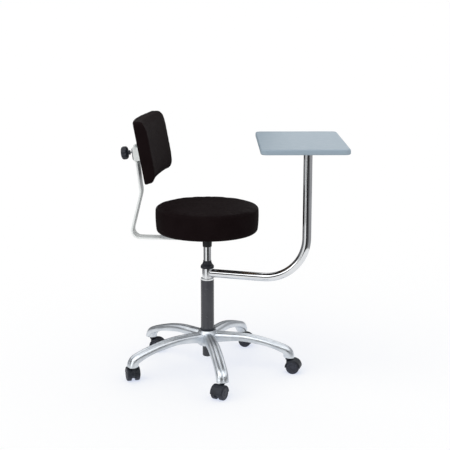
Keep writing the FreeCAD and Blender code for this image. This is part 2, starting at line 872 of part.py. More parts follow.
def release_lever():
    """The lever rod that presses the lift's button, its pivot pin and its grip."""
    low = "lever_height - lever_drop"
    angle = "atan(lever_drop / lever_run)"
    run = f"lever_bend * tan({angle} / 2)"
    first = "(lever_pivot + lever_shank)"
    second = f"({first} + lever_run)"
    rod = new_body("lever_rod")
    profile = new_sketch(rod, "XZ_Plane", ("0", "lever_height", "lever_inner"))
    draw_circle(profile, "0", "0", "lever_radius")
    path = new_sketch(rod, "YZ_Plane")
    draw(path, [
        ("-lever_inner", "lever_height"),
        (f"{first} - {run}", "lever_height", "lever_bend", -1),
        (f"{first} + {run} * cos({angle})", f"lever_height - {run} * sin({angle})"),
        (f"{second} - {run} * cos({angle})", f"{low} + {run} * sin({angle})", "lever_bend", 1),
        (f"{second} + {run}", low),
        ("lever_length", low),
    ], closed=False)
    sweep(rod, profile, path)
    pivot = new_sketch(rod, "YZ_Plane")
    draw_circle(pivot, "lever_pivot", "lever_height", "lever_pin_radius + slip_gap")
    pad(rod, pivot, "4 * lever_radius", middle=True, kind="Pocket")
    pin = new_body("lever_pin")
    pin_sketch = new_sketch(pin, "YZ_Plane")
    draw_circle(pin_sketch, "lever_pivot", "lever_height", "lever_pin_radius")
    pad(pin, pin_sketch, "2 * (lever_radius + face_gap + ear_thickness + edge_break)", middle=True)
    grip = new_body("lever_grip")
    grip_sketch = new_sketch(grip, "XZ_Plane", ("0", low, "-(lever_length + grip_round)"))
    draw(grip_sketch, rounded("grip_width / 2", "grip_thickness / 2", "grip_round"))
    handle = pad(grip, grip_sketch, "grip_length")
    ends = (value("lever_length + grip_round"), value("lever_length + grip_round - grip_length"))
    fillet(grip, handle, "grip_round / 2", lambda edge: any(
        abs(edge.BoundBox.YMin - end) < 1e-3 and abs(edge.BoundBox.YMax - end) < 1e-3 for end in ends))
    hole = new_sketch(grip, "XZ_Plane", ("0", low, "-(lever_length + press_gap)"))
    draw_circle(hole, "0", "0", "lever_radius + press_gap")
    pad(grip, hole, "grip_length", kind="Pocket", back=True)


# The back bar and the backrest


def back_bar():
    """A flat steel bar from under the seat, bent up behind it, kinked, and holed for its bolts."""
    body = new_body("back_bar")
    profile = new_sketch(body, "YZ_Plane", ("0", "bar_height", "-bar_front"))
    draw(profile, rectangle("-bar_width / 2", "bar_width / 2", "-bar_thickness / 2", "bar_thickness / 2"))
    path = new_sketch(body, "XZ_Plane")
    draw(path, [
        ("-bar_front", "bar_height"),
        ("-(bar_corner_back - bar_bend_run)", "bar_height", "bar_bend", -1),
        ("-(bar_corner_back - bar_bend_run * sin(bar_lean))", "bar_height + bar_bend_run * cos(bar_lean)"),
        ("-(bar_kink_back + bar_kink_run * sin(bar_lean))",
         "bar_kink_height - bar_kink_run * cos(bar_lean)", "bar_kink_bend", 1),
        ("-(bar_kink_back + bar_kink_run * sin(bar_recline))",
         "bar_kink_height + bar_kink_run * cos(bar_recline)"),
        ("-(bar_kink_back + bar_rise * sin(bar_recline))", "bar_top"),
    ], closed=False)
    sweep(body, profile, path)
    for x, y in BAR_SPOTS:
        sketch = new_sketch(body, "XY_Plane", ("0", "0", "bar_height"))
        draw_circle(sketch, x, y, "bolt_radius + bolt_clear")
        pad(body, sketch, "4 * bar_thickness", middle=True, kind="Pocket")


def bar_hanger():
    """The steel channel that hangs the bar under the seat board, and the bar's two bolts."""
    body = new_body("bar_hanger")
    sketch = new_sketch(body, "YZ_Plane", ("0", "0", "-(hanger_front + hanger_length)"))
    flange = "hanger_outer + hanger_flange"
    draw(sketch, [
        ("-hanger_outer", "hanger_bottom"),
        ("hanger_outer", "hanger_bottom"),
        ("hanger_outer", "seat_bottom - hanger_wall"),
        (flange, "seat_bottom - hanger_wall"),
        (flange, "seat_bottom"),
        ("hanger_inner", "seat_bottom"),
        ("hanger_inner", "hanger_bottom + hanger_wall"),
        ("-hanger_inner", "hanger_bottom + hanger_wall"),
        ("-hanger_inner", "seat_bottom"),
        (f"-({flange})", "seat_bottom"),
        (f"-({flange})", "seat_bottom - hanger_wall"),
        ("-hanger_outer", "seat_bottom - hanger_wall"),
    ])
    pad(body, sketch, "hanger_length")
    plate_holes(body, HANGER_SPOTS, "bolt_radius + bolt_clear", "4 * hanger_wall")
    for x, y in BAR_SPOTS:
        hole = new_sketch(body, "XY_Plane", ("0", "0", "hanger_bottom"))
        draw_circle(hole, x, y, "bolt_radius + press_gap")
        pad(body, hole, "4 * hanger_wall", middle=True, kind="Pocket")
    bolts = new_body("bar_bolts", several=True)
    add_bolts(bolts, BAR_SPOTS, "(bar_height - bar_thickness / 2)", "hanger_bottom + 2 * hanger_wall")


def at_clamp(body):
    """Put a body at the bar inside the clamp: +X towards the pad, +Z up along the bar."""
    place(body, "-clamp_back", "0", "clamp_height", "-bar_recline", Vector(0, 1, 0))


def back_clamp():
    """The sleeve that slides on the bar, its cheeks cut to meet the plate behind the pad."""
    body = new_body("back_clamp")
    at_clamp(body)
    half = "bar_width / 2 + face_gap + clamp_cheek"
    inner = f"{half} - clamp_cheek"

    def front(height):
        return f"(clamp_front - flange_thickness - 2 * press_gap - {height} * tan(pad_twist))"

    side = new_sketch(body, "XZ_Plane")
    draw(side, [
        ("-clamp_rear", "-clamp_length / 2"),
        (front("-clamp_length / 2"), "-clamp_length / 2"),
        (front("clamp_length / 2"), "clamp_length / 2"),
        ("-clamp_rear", "clamp_length / 2"),
    ])
    pad(body, side, f"2 * ({half})", middle=True)
    slot = new_sketch(body, "XY_Plane")
    draw(slot, rectangle("-bar_slot", "bar_slot", f"-({inner})", inner))
    pad(body, slot, "2 * clamp_length", middle=True, kind="Pocket")
    relief = new_sketch(body, "XY_Plane")
    reach = front("clamp_length / 2")
    draw(relief, rectangle("bar_slot + clamp_cheek", f"{reach} - clamp_skin", f"-({inner})", inner))
    pad(body, relief, "2 * clamp_length", middle=True, kind="Pocket")
    stud_hole = new_sketch(body, "YZ_Plane", ("0", "0", "-clamp_rear"))
    draw_circle(stud_hole, "0", "stud_rise", "stud_radius + slip_gap")
    pad(body, stud_hole, "2 * clamp_wall + face_gap", middle=True, kind="Pocket")


def clamp_cover():
    """The black plate behind the clamp, with the knob's stud through it."""
    body = new_body("clamp_cover")
    at_clamp(body)
    sketch = new_sketch(body, "YZ_Plane", ("0", "0", "-cover_rear"))
    draw(sketch, rounded("cover_width / 2", "cover_length / 2", "cover_corner"))
    pad(body, sketch, "cover_thickness")
    hole = new_sketch(body, "YZ_Plane", ("0", "0", "-cover_rear"))
    draw_circle(hole, "0", "stud_rise", "stud_radius + slip_gap")
    pad(body, hole, "4 * cover_thickness", middle=True, kind="Pocket")


def at_pad(body, behind="0"):
    """Put a body at the foot of the pad's back face: +X forward, +Z up the pad."""
    place(body, f"-(pad_back + {behind})", "0", "pad_bottom", "-pad_lean", Vector(0, 1, 0))


def band(width, thick, front_radius):
    """The plan outline of a curved slab: its back on the backrest's arc, its front on another."""
    half = f"({width}) / 2"
    back = f"back_radius - sqrt(back_radius ^ 2 - ({half}) ^ 2)"
    front = f"{thick} + {front_radius} - sqrt({front_radius} ^ 2 - ({half}) ^ 2)"
    return [
        (back, f"-{half}"),
        (front, f"-{half}", front_radius, -1),
        (front, half),
        (back, half, "back_radius", 1),
    ]


def is_corner(edge, reach):
    """Whether an edge runs through a slab's thickness at one of its four corners."""
    box = edge.BoundBox
    return box.YLength < 1e-3 and box.ZLength < 1e-3 and abs(abs(box.YMin) - reach) < 1e-3


SHELL_SPOTS = [(f"{i} * (flange_width / 2 - flange_inset)",
                f"flange_height + {j} * (flange_length / 2 - flange_inset)")
               for i in (-1, 1) for j in (-1, 1)]


def shell_holes(body, radius):
    """Holes for the four screws through the clamp's plate into the shell."""
    for y, z in SHELL_SPOTS:
        sketch = new_sketch(body, "YZ_Plane")
        draw_circle(sketch, y, z, radius)
        pad(body, sketch, "2 * tee_screw_length", middle=True, kind="Pocket")


def clamp_plate():
    """The steel plate on the clamp's cheeks, bent to the shell's curve."""
    body = new_body("clamp_plate")
    at_pad(body, "press_gap")
    sketch = new_sketch(body, "XY_Plane", ("0", "0", "flange_height - flange_length / 2"))
    draw(sketch, band("flange_width", "-flange_thickness", "(back_radius + flange_thickness)"))
    slab = pad(body, sketch, "flange_length")
    reach = value("flange_width / 2")
    fillet(body, slab, "flange_corner", lambda edge: is_corner(edge, reach))
    shell_holes(body, "tee_screw_radius + bolt_clear")


def shell_screws():
    """The four screws that hold the clamp's plate to the shell."""
    body = new_body("shell_screws", several=True)
    at_pad(body)
    for y, z in SHELL_SPOTS:
        bow = f"(back_radius - sqrt(back_radius ^ 2 - ({y}) ^ 2))"
        face = f"({bow} - flange_thickness - face_gap)"
        sketch = new_sketch(body, "XY_Plane", ("0", y, z))
        draw(sketch, [
            (f"{face} - tee_screw_radius", "0"),
            (f"{face} + tee_screw_length", "0"),
            (f"{face} + tee_screw_length", "tee_screw_radius"),
            (face, "tee_screw_radius"),
            (face, "tee_screw_head"),
            (f"{face} - tee_screw_radius", "tee_screw_head"),
        ])
        revolve(body, sketch, axis="H_Axis")


def back_shell():
    """The curved moulded shell behind the pad, holed for the clamp's screws."""
    body = new_body("back_shell")
    at_pad(body)
    sketch = new_sketch(body, "XY_Plane", ("0", "0", "shell_margin"))
    draw(sketch, band("shell_width", "shell_thickness", "(back_radius - shell_thickness)"))
    slab = pad(body, sketch, "shell_height")
    reach = value("shell_width / 2")
    fillet(body, slab, "shell_corner", lambda edge: is_corner(edge, reach))
    shell_holes(body, "tee_screw_radius + press_gap")


def back_pad():
    """The upholstered pad: crowned front, edges drawn in, hollowed behind for its shell."""
    body = new_body("back_pad")
    at_pad(body)
    stations = []
    for share, inset in PAD_ROUNDING:
        height = f"({share} * pad_corner)"
        eased = f"pad_puff * (1 - sqrt(1 - (1 - {height} / pad_ease) ^ 2))"
        stations.append((height, f"{inset} * pad_corner", eased))
    stations += [("pad_ease", "0", "0"), ("2 * pad_ease", "-pad_barrel", "-pad_barrel / 2")]
    stations += [(f"pad_height - {height}", inset, eased) for height, inset, eased in reversed(stations)]
    sections = []
    for height, inset, eased in stations:
        sketch = new_sketch(body, "XY_Plane", ("0", "0", height))
        draw(sketch, band(f"(pad_width - 2 * ({inset}))", f"(pad_thickness - ({eased}))", "pad_front_radius"))
        sections.append(sketch)
    loft(body, sections)
    recess = new_sketch(body, "XY_Plane", ("0", "0", "shell_margin - face_gap"))
    half = "(shell_width / 2 + face_gap)"
    floor_radius = "(back_radius - shell_thickness - face_gap)"
    floor_edge = f"shell_thickness + face_gap + {floor_radius} - sqrt({floor_radius} ^ 2 - {half} ^ 2)"
    draw(recess, [
        ("-pad_thickness", f"-{half}"),
        (floor_edge, f"-{half}", floor_radius, -1),
        (floor_edge, half),
        ("-pad_thickness", half),
    ])
    pocket = pad(body, recess, "shell_height + 2 * face_gap", kind="Pocket", back=True)
    reach = value(half)
    fillet(body, pocket, "shell_corner", lambda edge: is_corner(edge, reach))


# The clamp knob


def clamp_knob():
    """The lobed knob and its stud, on the stud's axis with the outer face up until placed."""
    head = new_body("clamp_knob")
    sketch = new_sketch(head, "XZ_Plane")
    top = "knob_neck + knob_thickness"
    draw(sketch, [
        ("0", "0"),
        ("knob_neck_radius", "0"),
        ("knob_neck_radius", "knob_neck"),
        ("knob_radius - knob_round", "knob_neck", "knob_round", 1),
        ("knob_radius", "knob_neck + knob_round"),
        ("knob_radius", f"{top} - knob_round", "knob_round", 1),
        ("knob_radius - knob_round", top),
        ("0", top),
    ])
    revolve(head, sketch)
    bite = new_sketch(head, "XY_Plane", ("0", "0", top))
    draw_circle(bite, "knob_radius + lobe_radius - lobe_bite", "0", "lobe_radius")
    scallop = pad(head, bite, "knob_thickness - face_gap", kind="Pocket")
    around(head, [scallop], KNOB_LOBES)
    bore = new_sketch(head, "XY_Plane")
    draw_circle(bore, "0", "0", "stud_radius + press_gap")
    pad(head, bore, "knob_thread", kind="Pocket", back=True)
    stud = turned("knob_stud", [
        ("0", "bar_slot - knob_front"),
        ("stud_radius", "bar_slot - knob_front"),
        ("stud_radius", "knob_thread - face_gap"),
        ("0", "knob_thread - face_gap"),
    ])
    for body in (head, stud):
        place(body, "-(clamp_back + knob_front * cos(bar_recline) + stud_rise * sin(bar_recline))", "0",
              "clamp_height - knob_front * sin(bar_recline) + stud_rise * cos(bar_recline)",
              "-(90 + bar_recline)", Vector(0, 1, 0))


# The desk and its arm


def desk_arm():
    """The collar that turns on the column's neck, the bent tube and the bush in its top."""
    turned("arm_collar", [
        ("collar_bore", "collar_bottom"),
        ("collar_radius", "collar_bottom"),
        ("collar_radius", "collar_top"),
        ("collar_bore", "collar_top"),
    ])
    body = new_body("arm_tube")
    place(body, "0", "0", "0", "arm_angle")
    start = "collar_radius / 2"
    profile = new_sketch(body, "YZ_Plane", ("0", "arm_height", start))
    draw_circle(profile, "0", "0", "arm_radius")
    draw_circle(profile, "0", "0", "arm_bore")
    path = new_sketch(body, "XZ_Plane")
    draw(path, [
        (start, "arm_height"),
        ("post_reach - arm_bend", "arm_height", "arm_bend", 1),
        ("post_reach", "arm_height + arm_bend"),
        ("post_reach", "post_top"),
    ], closed=False)
    sweep(body, profile, path)
    saddle = new_sketch(body, "XY_Plane", ("0", "0", "arm_height"))
    draw_circle(saddle, "0", "0", "collar_radius + press_gap")
    pad(body, saddle, "4 * arm_radius", middle=True, kind="Pocket")
    bush = turned("post_bush", [
        ("spigot_radius + slip_gap", "post_bush_top - post_bush_length"),
        ("arm_bore - press_gap", "post_bush_top - post_bush_length"),
        ("arm_bore - press_gap", "post_top"),
        ("arm_radius", "post_top"),
        ("arm_radius", "post_bush_top"),
        ("spigot_radius + slip_gap", "post_bush_top"),
    ])
    at_post(bush)


def at_post(body, turn=None):
    """Put a body on the post's axis."""
    place(body, "post_reach * cos(arm_angle)", "post_reach * sin(arm_angle)", "0", turn)


def desk():
    """The flange that turns in the post, the desk board on it and the screws between them."""
    flange = turned("desk_flange", [
        ("0", "desk_neck_bottom - spigot_length"),
        ("spigot_radius", "desk_neck_bottom - spigot_length"),
        ("spigot_radius", "desk_neck_bottom"),
        ("desk_neck_radius", "desk_neck_bottom"),
        ("desk_neck_radius", "desk_flange_bottom"),
        ("desk_flange_radius", "desk_flange_bottom"),
        ("desk_flange_radius", "desk_bottom"),
        ("0", "desk_bottom"),
    ])
    hole = new_sketch(flange, "XY_Plane", ("0", "0", "desk_bottom"))
    draw_circle(hole, "screw_circle", "0", "screw_radius + press_gap")
    around(flange, [pad(flange, hole, "4 * desk_flange", middle=True, kind="Pocket")], DESK_SCREWS)
    board = new_body("desk_board")
    outline = new_sketch(board, "XY_Plane", ("-desk_offset", "0", "desk_bottom"))
    draw(outline, rounded("desk_depth / 2", "desk_length / 2", "desk_corner"))
    slab = pad(board, outline, "desk_thickness")
    levels = (value("desk_bottom"), value("desk_top"))
    fillet(board, slab, "desk_round", lambda edge: edge.BoundBox.ZLength < 1e-3 and any(
        abs(edge.BoundBox.ZMin - level) < 1e-3 for level in levels))
    bore = new_sketch(board, "XY_Plane", ("0", "0", "desk_bottom"))
    draw_circle(bore, "screw_circle", "0", "screw_radius + press_gap")
    around(board, [pad(board, bore, "screw_bite + face_gap", kind="Pocket", back=True)], DESK_SCREWS)
    screws = new_body("desk_screws", several=True)
    sketch = new_sketch(screws, "XZ_Plane", ("screw_circle", "0", "0"))
    draw(sketch, [
        ("0", "desk_flange_bottom - screw_head"),
        ("screw_head_radius - edge_break", "desk_flange_bottom - screw_head"),
        ("screw_head_radius", "desk_flange_bottom - screw_head + edge_break"),
        ("screw_head_radius", "desk_flange_bottom"),
        ("screw_radius", "desk_flange_bottom"),
        ("screw_radius", "desk_bottom + screw_bite"),
        ("0", "desk_bottom + screw_bite"),
    ])
    around(screws, [revolve(screws, sketch)], DESK_SCREWS)
    for body in (flange, board, screws):
        at_post(body, "desk_angle")


# The casters


def at_axle(body, leg, turn):
    """Put a body at a caster's axle, turned with the caster."""
    angle, heading = 360 / LEG_COUNT * leg, HEADINGS[leg]
    place(body, f"caster_circle * cos({angle}) + caster_trail * cos({heading})",
          f"caster_circle * sin({angle}) + caster_trail * sin({heading})", "wheel_radius", turn)


def caster_hood(leg):
    """A moulded hood: fender over both wheels, web between them and neck round the stem."""
    body = new_body(f"caster_{leg + 1}_hood")
    angle = 360 / LEG_COUNT * leg
    place(body, f"caster_circle * cos({angle})", f"caster_circle * sin({angle})", "0", HEADINGS[leg])
    rim = "(fender_outer - fender_round)"
    flank = "(wheel_outer - fender_round)"
    inner_round = "(fender_round - fender_wall)"
    fender = new_sketch(body, "XY_Plane", ("caster_trail", "0", "wheel_radius"))
    draw(fender, [
        (f"-{rim}", "wheel_outer", "fender_round", 1),
        ("-fender_outer", flank),
        ("-fender_outer", f"-{flank}", "fender_round", 1),
        (f"-{rim}", "-wheel_outer"),
        (f"-{rim}", "-(wheel_outer - fender_wall)", inner_round, -1),
        ("-fender_inner", f"-{flank}"),
        ("-fender_inner", flank, inner_round, -1),
        (f"-{rim}", "wheel_outer - fender_wall"),
    ])
    revolve(body, fender, "fender_wrap")
    web_rim = "(fender_inner + fender_wall / 2)"
    web = new_sketch(body, "XZ_Plane", ("caster_trail", "wheel_radius", "0"))
    draw(web, [
        (web_rim, "0", web_rim, 1),
        ("0", web_rim, web_rim, 1),
        (f"-{web_rim}", "0"),
        ("-web_chin", "-web_chin"),
        ("web_chin", "-web_chin"),
    ])
    pad(body, web, "web_thickness", middle=True)
    sleeve = "(stem_radius + stem_wall)"
    neck = new_sketch(body, "XZ_Plane")
    bore_floor = "(hood_top - stem_reach - face_gap)"
    draw(neck, [
        ("0", f"{bore_floor} - stem_wall"),
        (sleeve, f"{bore_floor} - stem_wall"),
        (sleeve, "hood_top - neck_height - stem_radius"),
        ("neck_radius", "hood_top - neck_height"),
        ("neck_radius", "hood_top"),
        ("0", "hood_top"),
    ])
    revolve(body, neck)
    bore = new_sketch(body, "XY_Plane", ("0", "0", "hood_top"))
    draw_circle(bore, "0", "0", "stem_radius + slip_gap")
    pad(body, bore, "stem_reach + face_gap", kind="Pocket")
    axle = new_sketch(body, "XZ_Plane", ("caster_trail", "wheel_radius", "0"))
    draw_circle(axle, "0", "0", "axle_radius + press_gap")
    pad(body, axle, "2 * web_thickness", middle=True, kind="Pocket")


def caster_axle(leg):
    """The steel pin through the hood's web."""
    body = new_body(f"caster_{leg + 1}_axle")
    sketch = new_sketch(body, "XZ_Plane")
    draw_circle(sketch, "0", "0", "axle_radius")
    pad(body, sketch, "2 * (wheel_inner + axle_bury)", middle=True)
    at_axle(body, leg, HEADINGS[leg])


def caster_wheel(leg, side, turn):
    """A wheel with a rounded outer edge and a dished face, bored from within for the axle."""
    body = new_body(f"caster_{leg + 1}_wheel_{side}")
    sketch = new_sketch(body, "XY_Plane")
    bore = "axle_radius + slip_gap"
    bore_end = "wheel_inner + axle_bury + face_gap"
    draw(sketch, [
        (bore, "wheel_inner"),
        ("wheel_radius - tread_break", "wheel_inner"),
        ("wheel_radius", "wheel_inner + tread_break"),
        ("wheel_radius", "wheel_outer - wheel_round", "wheel_round", 1),
        ("wheel_radius - wheel_round", "wheel_outer"),
        ("dish_radius + dish_depth", "wheel_outer"),
        ("dish_radius", "wheel_outer - dish_depth"),
        ("dish_hub_radius + dish_depth", "wheel_outer - dish_depth"),
        ("dish_hub_radius", "wheel_outer"),
        ("0", "wheel_outer"),
        ("0", bore_end),
        (bore, bore_end),
    ])
    revolve(body, sketch)
    at_axle(body, leg, turn)


star_base()
caster_stems()
column()
gas_lift()
seat_socket()
seat_plate()
seat_group()
release_lever()
back_bar()
bar_hanger()
back_clamp()
clamp_cover()
clamp_plate()
shell_screws()
back_shell()
back_pad()
clamp_knob()
desk_arm()
desk()
for leg in range(LEG_COUNT):
    caster_hood(leg)
    caster_axle(leg)
    caster_wheel(leg, "left", HEADINGS[leg])
    caster_wheel(leg, "right", f"{HEADINGS[leg]} + 180")

doc.recompute()
failed = [thing.Label for thing in doc.Objects if "Invalid" in thing.State or "Error" in thing.State]
failed += [body.Label for body in sub_parts if body.Shape.isNull() or not body.Shape.isValid()]
if failed:
    raise RuntimeError(f"these did not build: {failed}")

os.makedirs("parts", exist_ok=True)
for body in sub_parts:
    body.Shape.exportStep(f"parts/{body.Label}.step")
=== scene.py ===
"""Looks of the physician stool with a laptop desk, in metres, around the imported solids."""
import json
import math

import bmesh
import bpy
from mathutils import Matrix, Vector, noise
from mathutils.bvhtree import BVHTree


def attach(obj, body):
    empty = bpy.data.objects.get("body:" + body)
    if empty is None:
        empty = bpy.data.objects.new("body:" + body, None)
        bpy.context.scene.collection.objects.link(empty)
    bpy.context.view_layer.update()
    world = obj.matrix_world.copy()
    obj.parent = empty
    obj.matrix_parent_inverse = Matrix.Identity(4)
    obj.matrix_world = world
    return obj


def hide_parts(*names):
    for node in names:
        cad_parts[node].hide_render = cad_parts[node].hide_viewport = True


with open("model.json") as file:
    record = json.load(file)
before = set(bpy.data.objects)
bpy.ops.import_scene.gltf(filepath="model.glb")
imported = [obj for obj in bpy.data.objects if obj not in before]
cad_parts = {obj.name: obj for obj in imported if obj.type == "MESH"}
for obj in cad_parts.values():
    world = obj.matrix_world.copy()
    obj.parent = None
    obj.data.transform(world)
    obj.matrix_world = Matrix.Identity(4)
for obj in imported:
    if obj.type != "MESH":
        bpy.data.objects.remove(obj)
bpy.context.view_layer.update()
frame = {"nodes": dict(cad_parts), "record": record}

NODES = frame["nodes"]
MM = 0.001
FULL_TURN = 2 * math.pi
UP = Vector((0, 0, 1))

# Points of a mesh that are nearer than this are one
MERGE = 0.01 * MM

# Places that the solids share with the pieces made here
CLAMP_LEAN = math.radians(7)
PAD_LEAN = math.radians(10.5)
PAD_FOOT = Vector((-216 * MM, 0, 735 * MM))
BACK_RADIUS = 829 * MM
ARM_TURN = math.radians(-9.3)
ARM_HEIGHT = 378.8 * MM
ARM_RADIUS = 15.9 * MM
COLLAR_RADIUS = 19.1 * MM
PLATE_BOTTOM = 537 * MM
SOCKET_RADIUS = 19 * MM
STUD_RADIUS = 3.5 * MM


# Materials

# A noise texture's values lie mostly between these two
NOISE_LOW = 0.3
NOISE_HIGH = 0.7

# Which output of a colour mix is the colour
MIXED = 2


def linear(code):
    """A colour written as sRGB hex, as the linear colour that a shader takes."""
    parts = [int(code[i:i + 2], 16) / 255 for i in (1, 3, 5)]
    values = [p / 12.92 if p <= 0.04045 else ((p + 0.055) / 1.055) ** 2.4 for p in parts]
    return (*values, 1.0)


def add(tree, kind, settings=None, **inputs):
    """A shader node with its settings. Each input, by its name or identifier, is set or linked."""
    node = tree.nodes.new(f"ShaderNode{kind}")
    for name, value in (settings or {}).items():
        setattr(node, name, value)
    for name, value in inputs.items():
        words = name.replace("_", " ")
        socket = next(s for s in node.inputs if s.identifier == name or s.name == words)
        if isinstance(value, bpy.types.NodeSocket):
            tree.links.new(value, socket)
        else:
            socket.default_value = value
    return node


def new_material(name):
    """An empty node material, and its tree."""
    made = bpy.data.materials.new(name)
    made.use_nodes = True
    made.node_tree.nodes.clear()
    return made, made.node_tree


def hard_finish(name, colours, tone_mm, rough, grain_mm, depth_mm, cloud_mm=None,
                tone_detail=3.0, grain_detail=2.0, **shader):
    """A hard surface: clouded colour and gloss, a fine grain, and eased edges worn to the third colour."""
    made, tree = new_material(name)
    dark, light, edge = [linear(code) for code in colours]
    place = add(tree, "TexCoord").outputs["Object"]

    tone = add(tree, "TexNoise", Vector=place, Scale=1 / (tone_mm * MM), Detail=tone_detail)
    share = add(tree, "MapRange", Value=tone.outputs["Fac"], From_Min=NOISE_LOW, From_Max=NOISE_HIGH)
    film = add(tree, "Mix", {"data_type": "RGBA"}, Factor_Float=share.outputs["Result"],
               A_Color=dark, B_Color=light)

    # edges are eased by half a millimetre, and handling rubs them
    eased = add(tree, "Bevel", {"samples": 4}, Radius=0.5 * MM).outputs["Normal"]
    flat = add(tree, "NewGeometry").outputs["Normal"]
    facing = add(tree, "VectorMath", {"operation": "DOT_PRODUCT"}, Vector=eased, Vector_001=flat)
    worn = add(tree, "MapRange", Value=facing.outputs["Value"], From_Min=0.99, From_Max=0.8)
    colour = add(tree, "Mix", {"data_type": "RGBA"}, Factor_Float=worn.outputs["Result"],
                 A_Color=film.outputs[MIXED], B_Color=edge)

    clouds = add(tree, "TexNoise", Vector=place, Scale=1 / ((cloud_mm or tone_mm / 3) * MM), Detail=3.0)
    gloss = add(tree, "MapRange", Value=clouds.outputs["Fac"], From_Min=NOISE_LOW, From_Max=NOISE_HIGH,
                To_Min=rough[0], To_Max=rough[1])
    grain = add(tree, "TexNoise", Vector=place, Scale=1 / (grain_mm * MM), Detail=grain_detail)
    relief = add(tree, "Bump", Height=grain.outputs["Fac"], Distance=depth_mm * MM, Strength=1.0,
                 Normal=eased)
    surface = add(tree, "BsdfPrincipled", Base_Color=colour.outputs[MIXED], Roughness=gloss.outputs["Result"],
                  Normal=relief.outputs["Normal"], **shader)
    add(tree, "OutputMaterial", Surface=surface.outputs["BSDF"])
    return made


def vinyl():
    """Black-brown upholstery vinyl, embossed: a pebbled grain that breaks up a soft, low gloss."""
    made, tree = new_material("black_vinyl")
    place = add(tree, "TexCoord").outputs["Object"]
    tone = add(tree, "TexNoise", Vector=place, Scale=1 / (60 * MM), Detail=3.0)
    share = add(tree, "MapRange", Value=tone.outputs["Fac"], From_Min=NOISE_LOW, From_Max=NOISE_HIGH)
    colour = add(tree, "Mix", {"data_type": "RGBA"}, Factor_Float=share.outputs["Result"],
                 A_Color=linear("#140d0e"), B_Color=linear("#181112"))
    clouds = add(tree, "TexNoise", Vector=place, Scale=1 / (9 * MM), Detail=3.0)
    gloss = add(tree, "MapRange", Value=clouds.outputs["Fac"], From_Min=NOISE_LOW, From_Max=NOISE_HIGH,
                To_Min=0.5, To_Max=0.62)
    # real pebbles are under a millimetre, and these are a little coarser so that they show
    pebbles = add(tree, "TexVoronoi", {"feature": "SMOOTH_F1"}, Vector=place,
                  Scale=1 / (1.4 * MM), Smoothness=0.6)
    relief = add(tree, "Bump", Height=pebbles.outputs["Distance"], Distance=0.1 * MM, Strength=1.0)
    surface = add(tree, "BsdfPrincipled", Base_Color=colour.outputs[MIXED], Roughness=gloss.outputs["Result"],
                  Normal=relief.outputs["Normal"], Specular_IOR_Level=0.018)
    add(tree, "OutputMaterial", Surface=surface.outputs["BSDF"])
    return made


def plywood():
    """Stained plywood, peeled from the log: long dark brown grain about 3 mm wide."""
    made, tree = new_material("plywood")
    stretch = 9
    place = add(tree, "TexCoord").outputs["Object"]
    along = add(tree, "Mapping", Vector=place, Scale=(1, stretch, stretch)).outputs["Vector"]
    # a band texture of scale 1 has 20 radians to the metre
    bands = add(tree, "TexWave", {"wave_type": "BANDS", "bands_direction": "Y"}, Vector=along,
                Scale=FULL_TURN / (20 * stretch * 2.909 * MM), Distortion=5.0, Detail=3.0).outputs["Fac"]
    colour = add(tree, "Mix", {"data_type": "RGBA"}, Factor_Float=bands,
                 A_Color=linear("#463423"), B_Color=linear("#57422d"))
    clouds = add(tree, "TexNoise", Vector=along, Scale=1 / (20 * MM), Detail=3.0)
    gloss = add(tree, "MapRange", Value=clouds.outputs["Fac"], From_Min=NOISE_LOW, From_Max=NOISE_HIGH,
                To_Min=0.55, To_Max=0.7)
    relief = add(tree, "Bump", Height=bands, Distance=0.05 * MM, Strength=1.0)
    surface = add(tree, "BsdfPrincipled", Base_Color=colour.outputs[MIXED], Roughness=gloss.outputs["Result"],
                  Normal=relief.outputs["Normal"])
    add(tree, "OutputMaterial", Surface=surface.outputs["BSDF"])
    return made


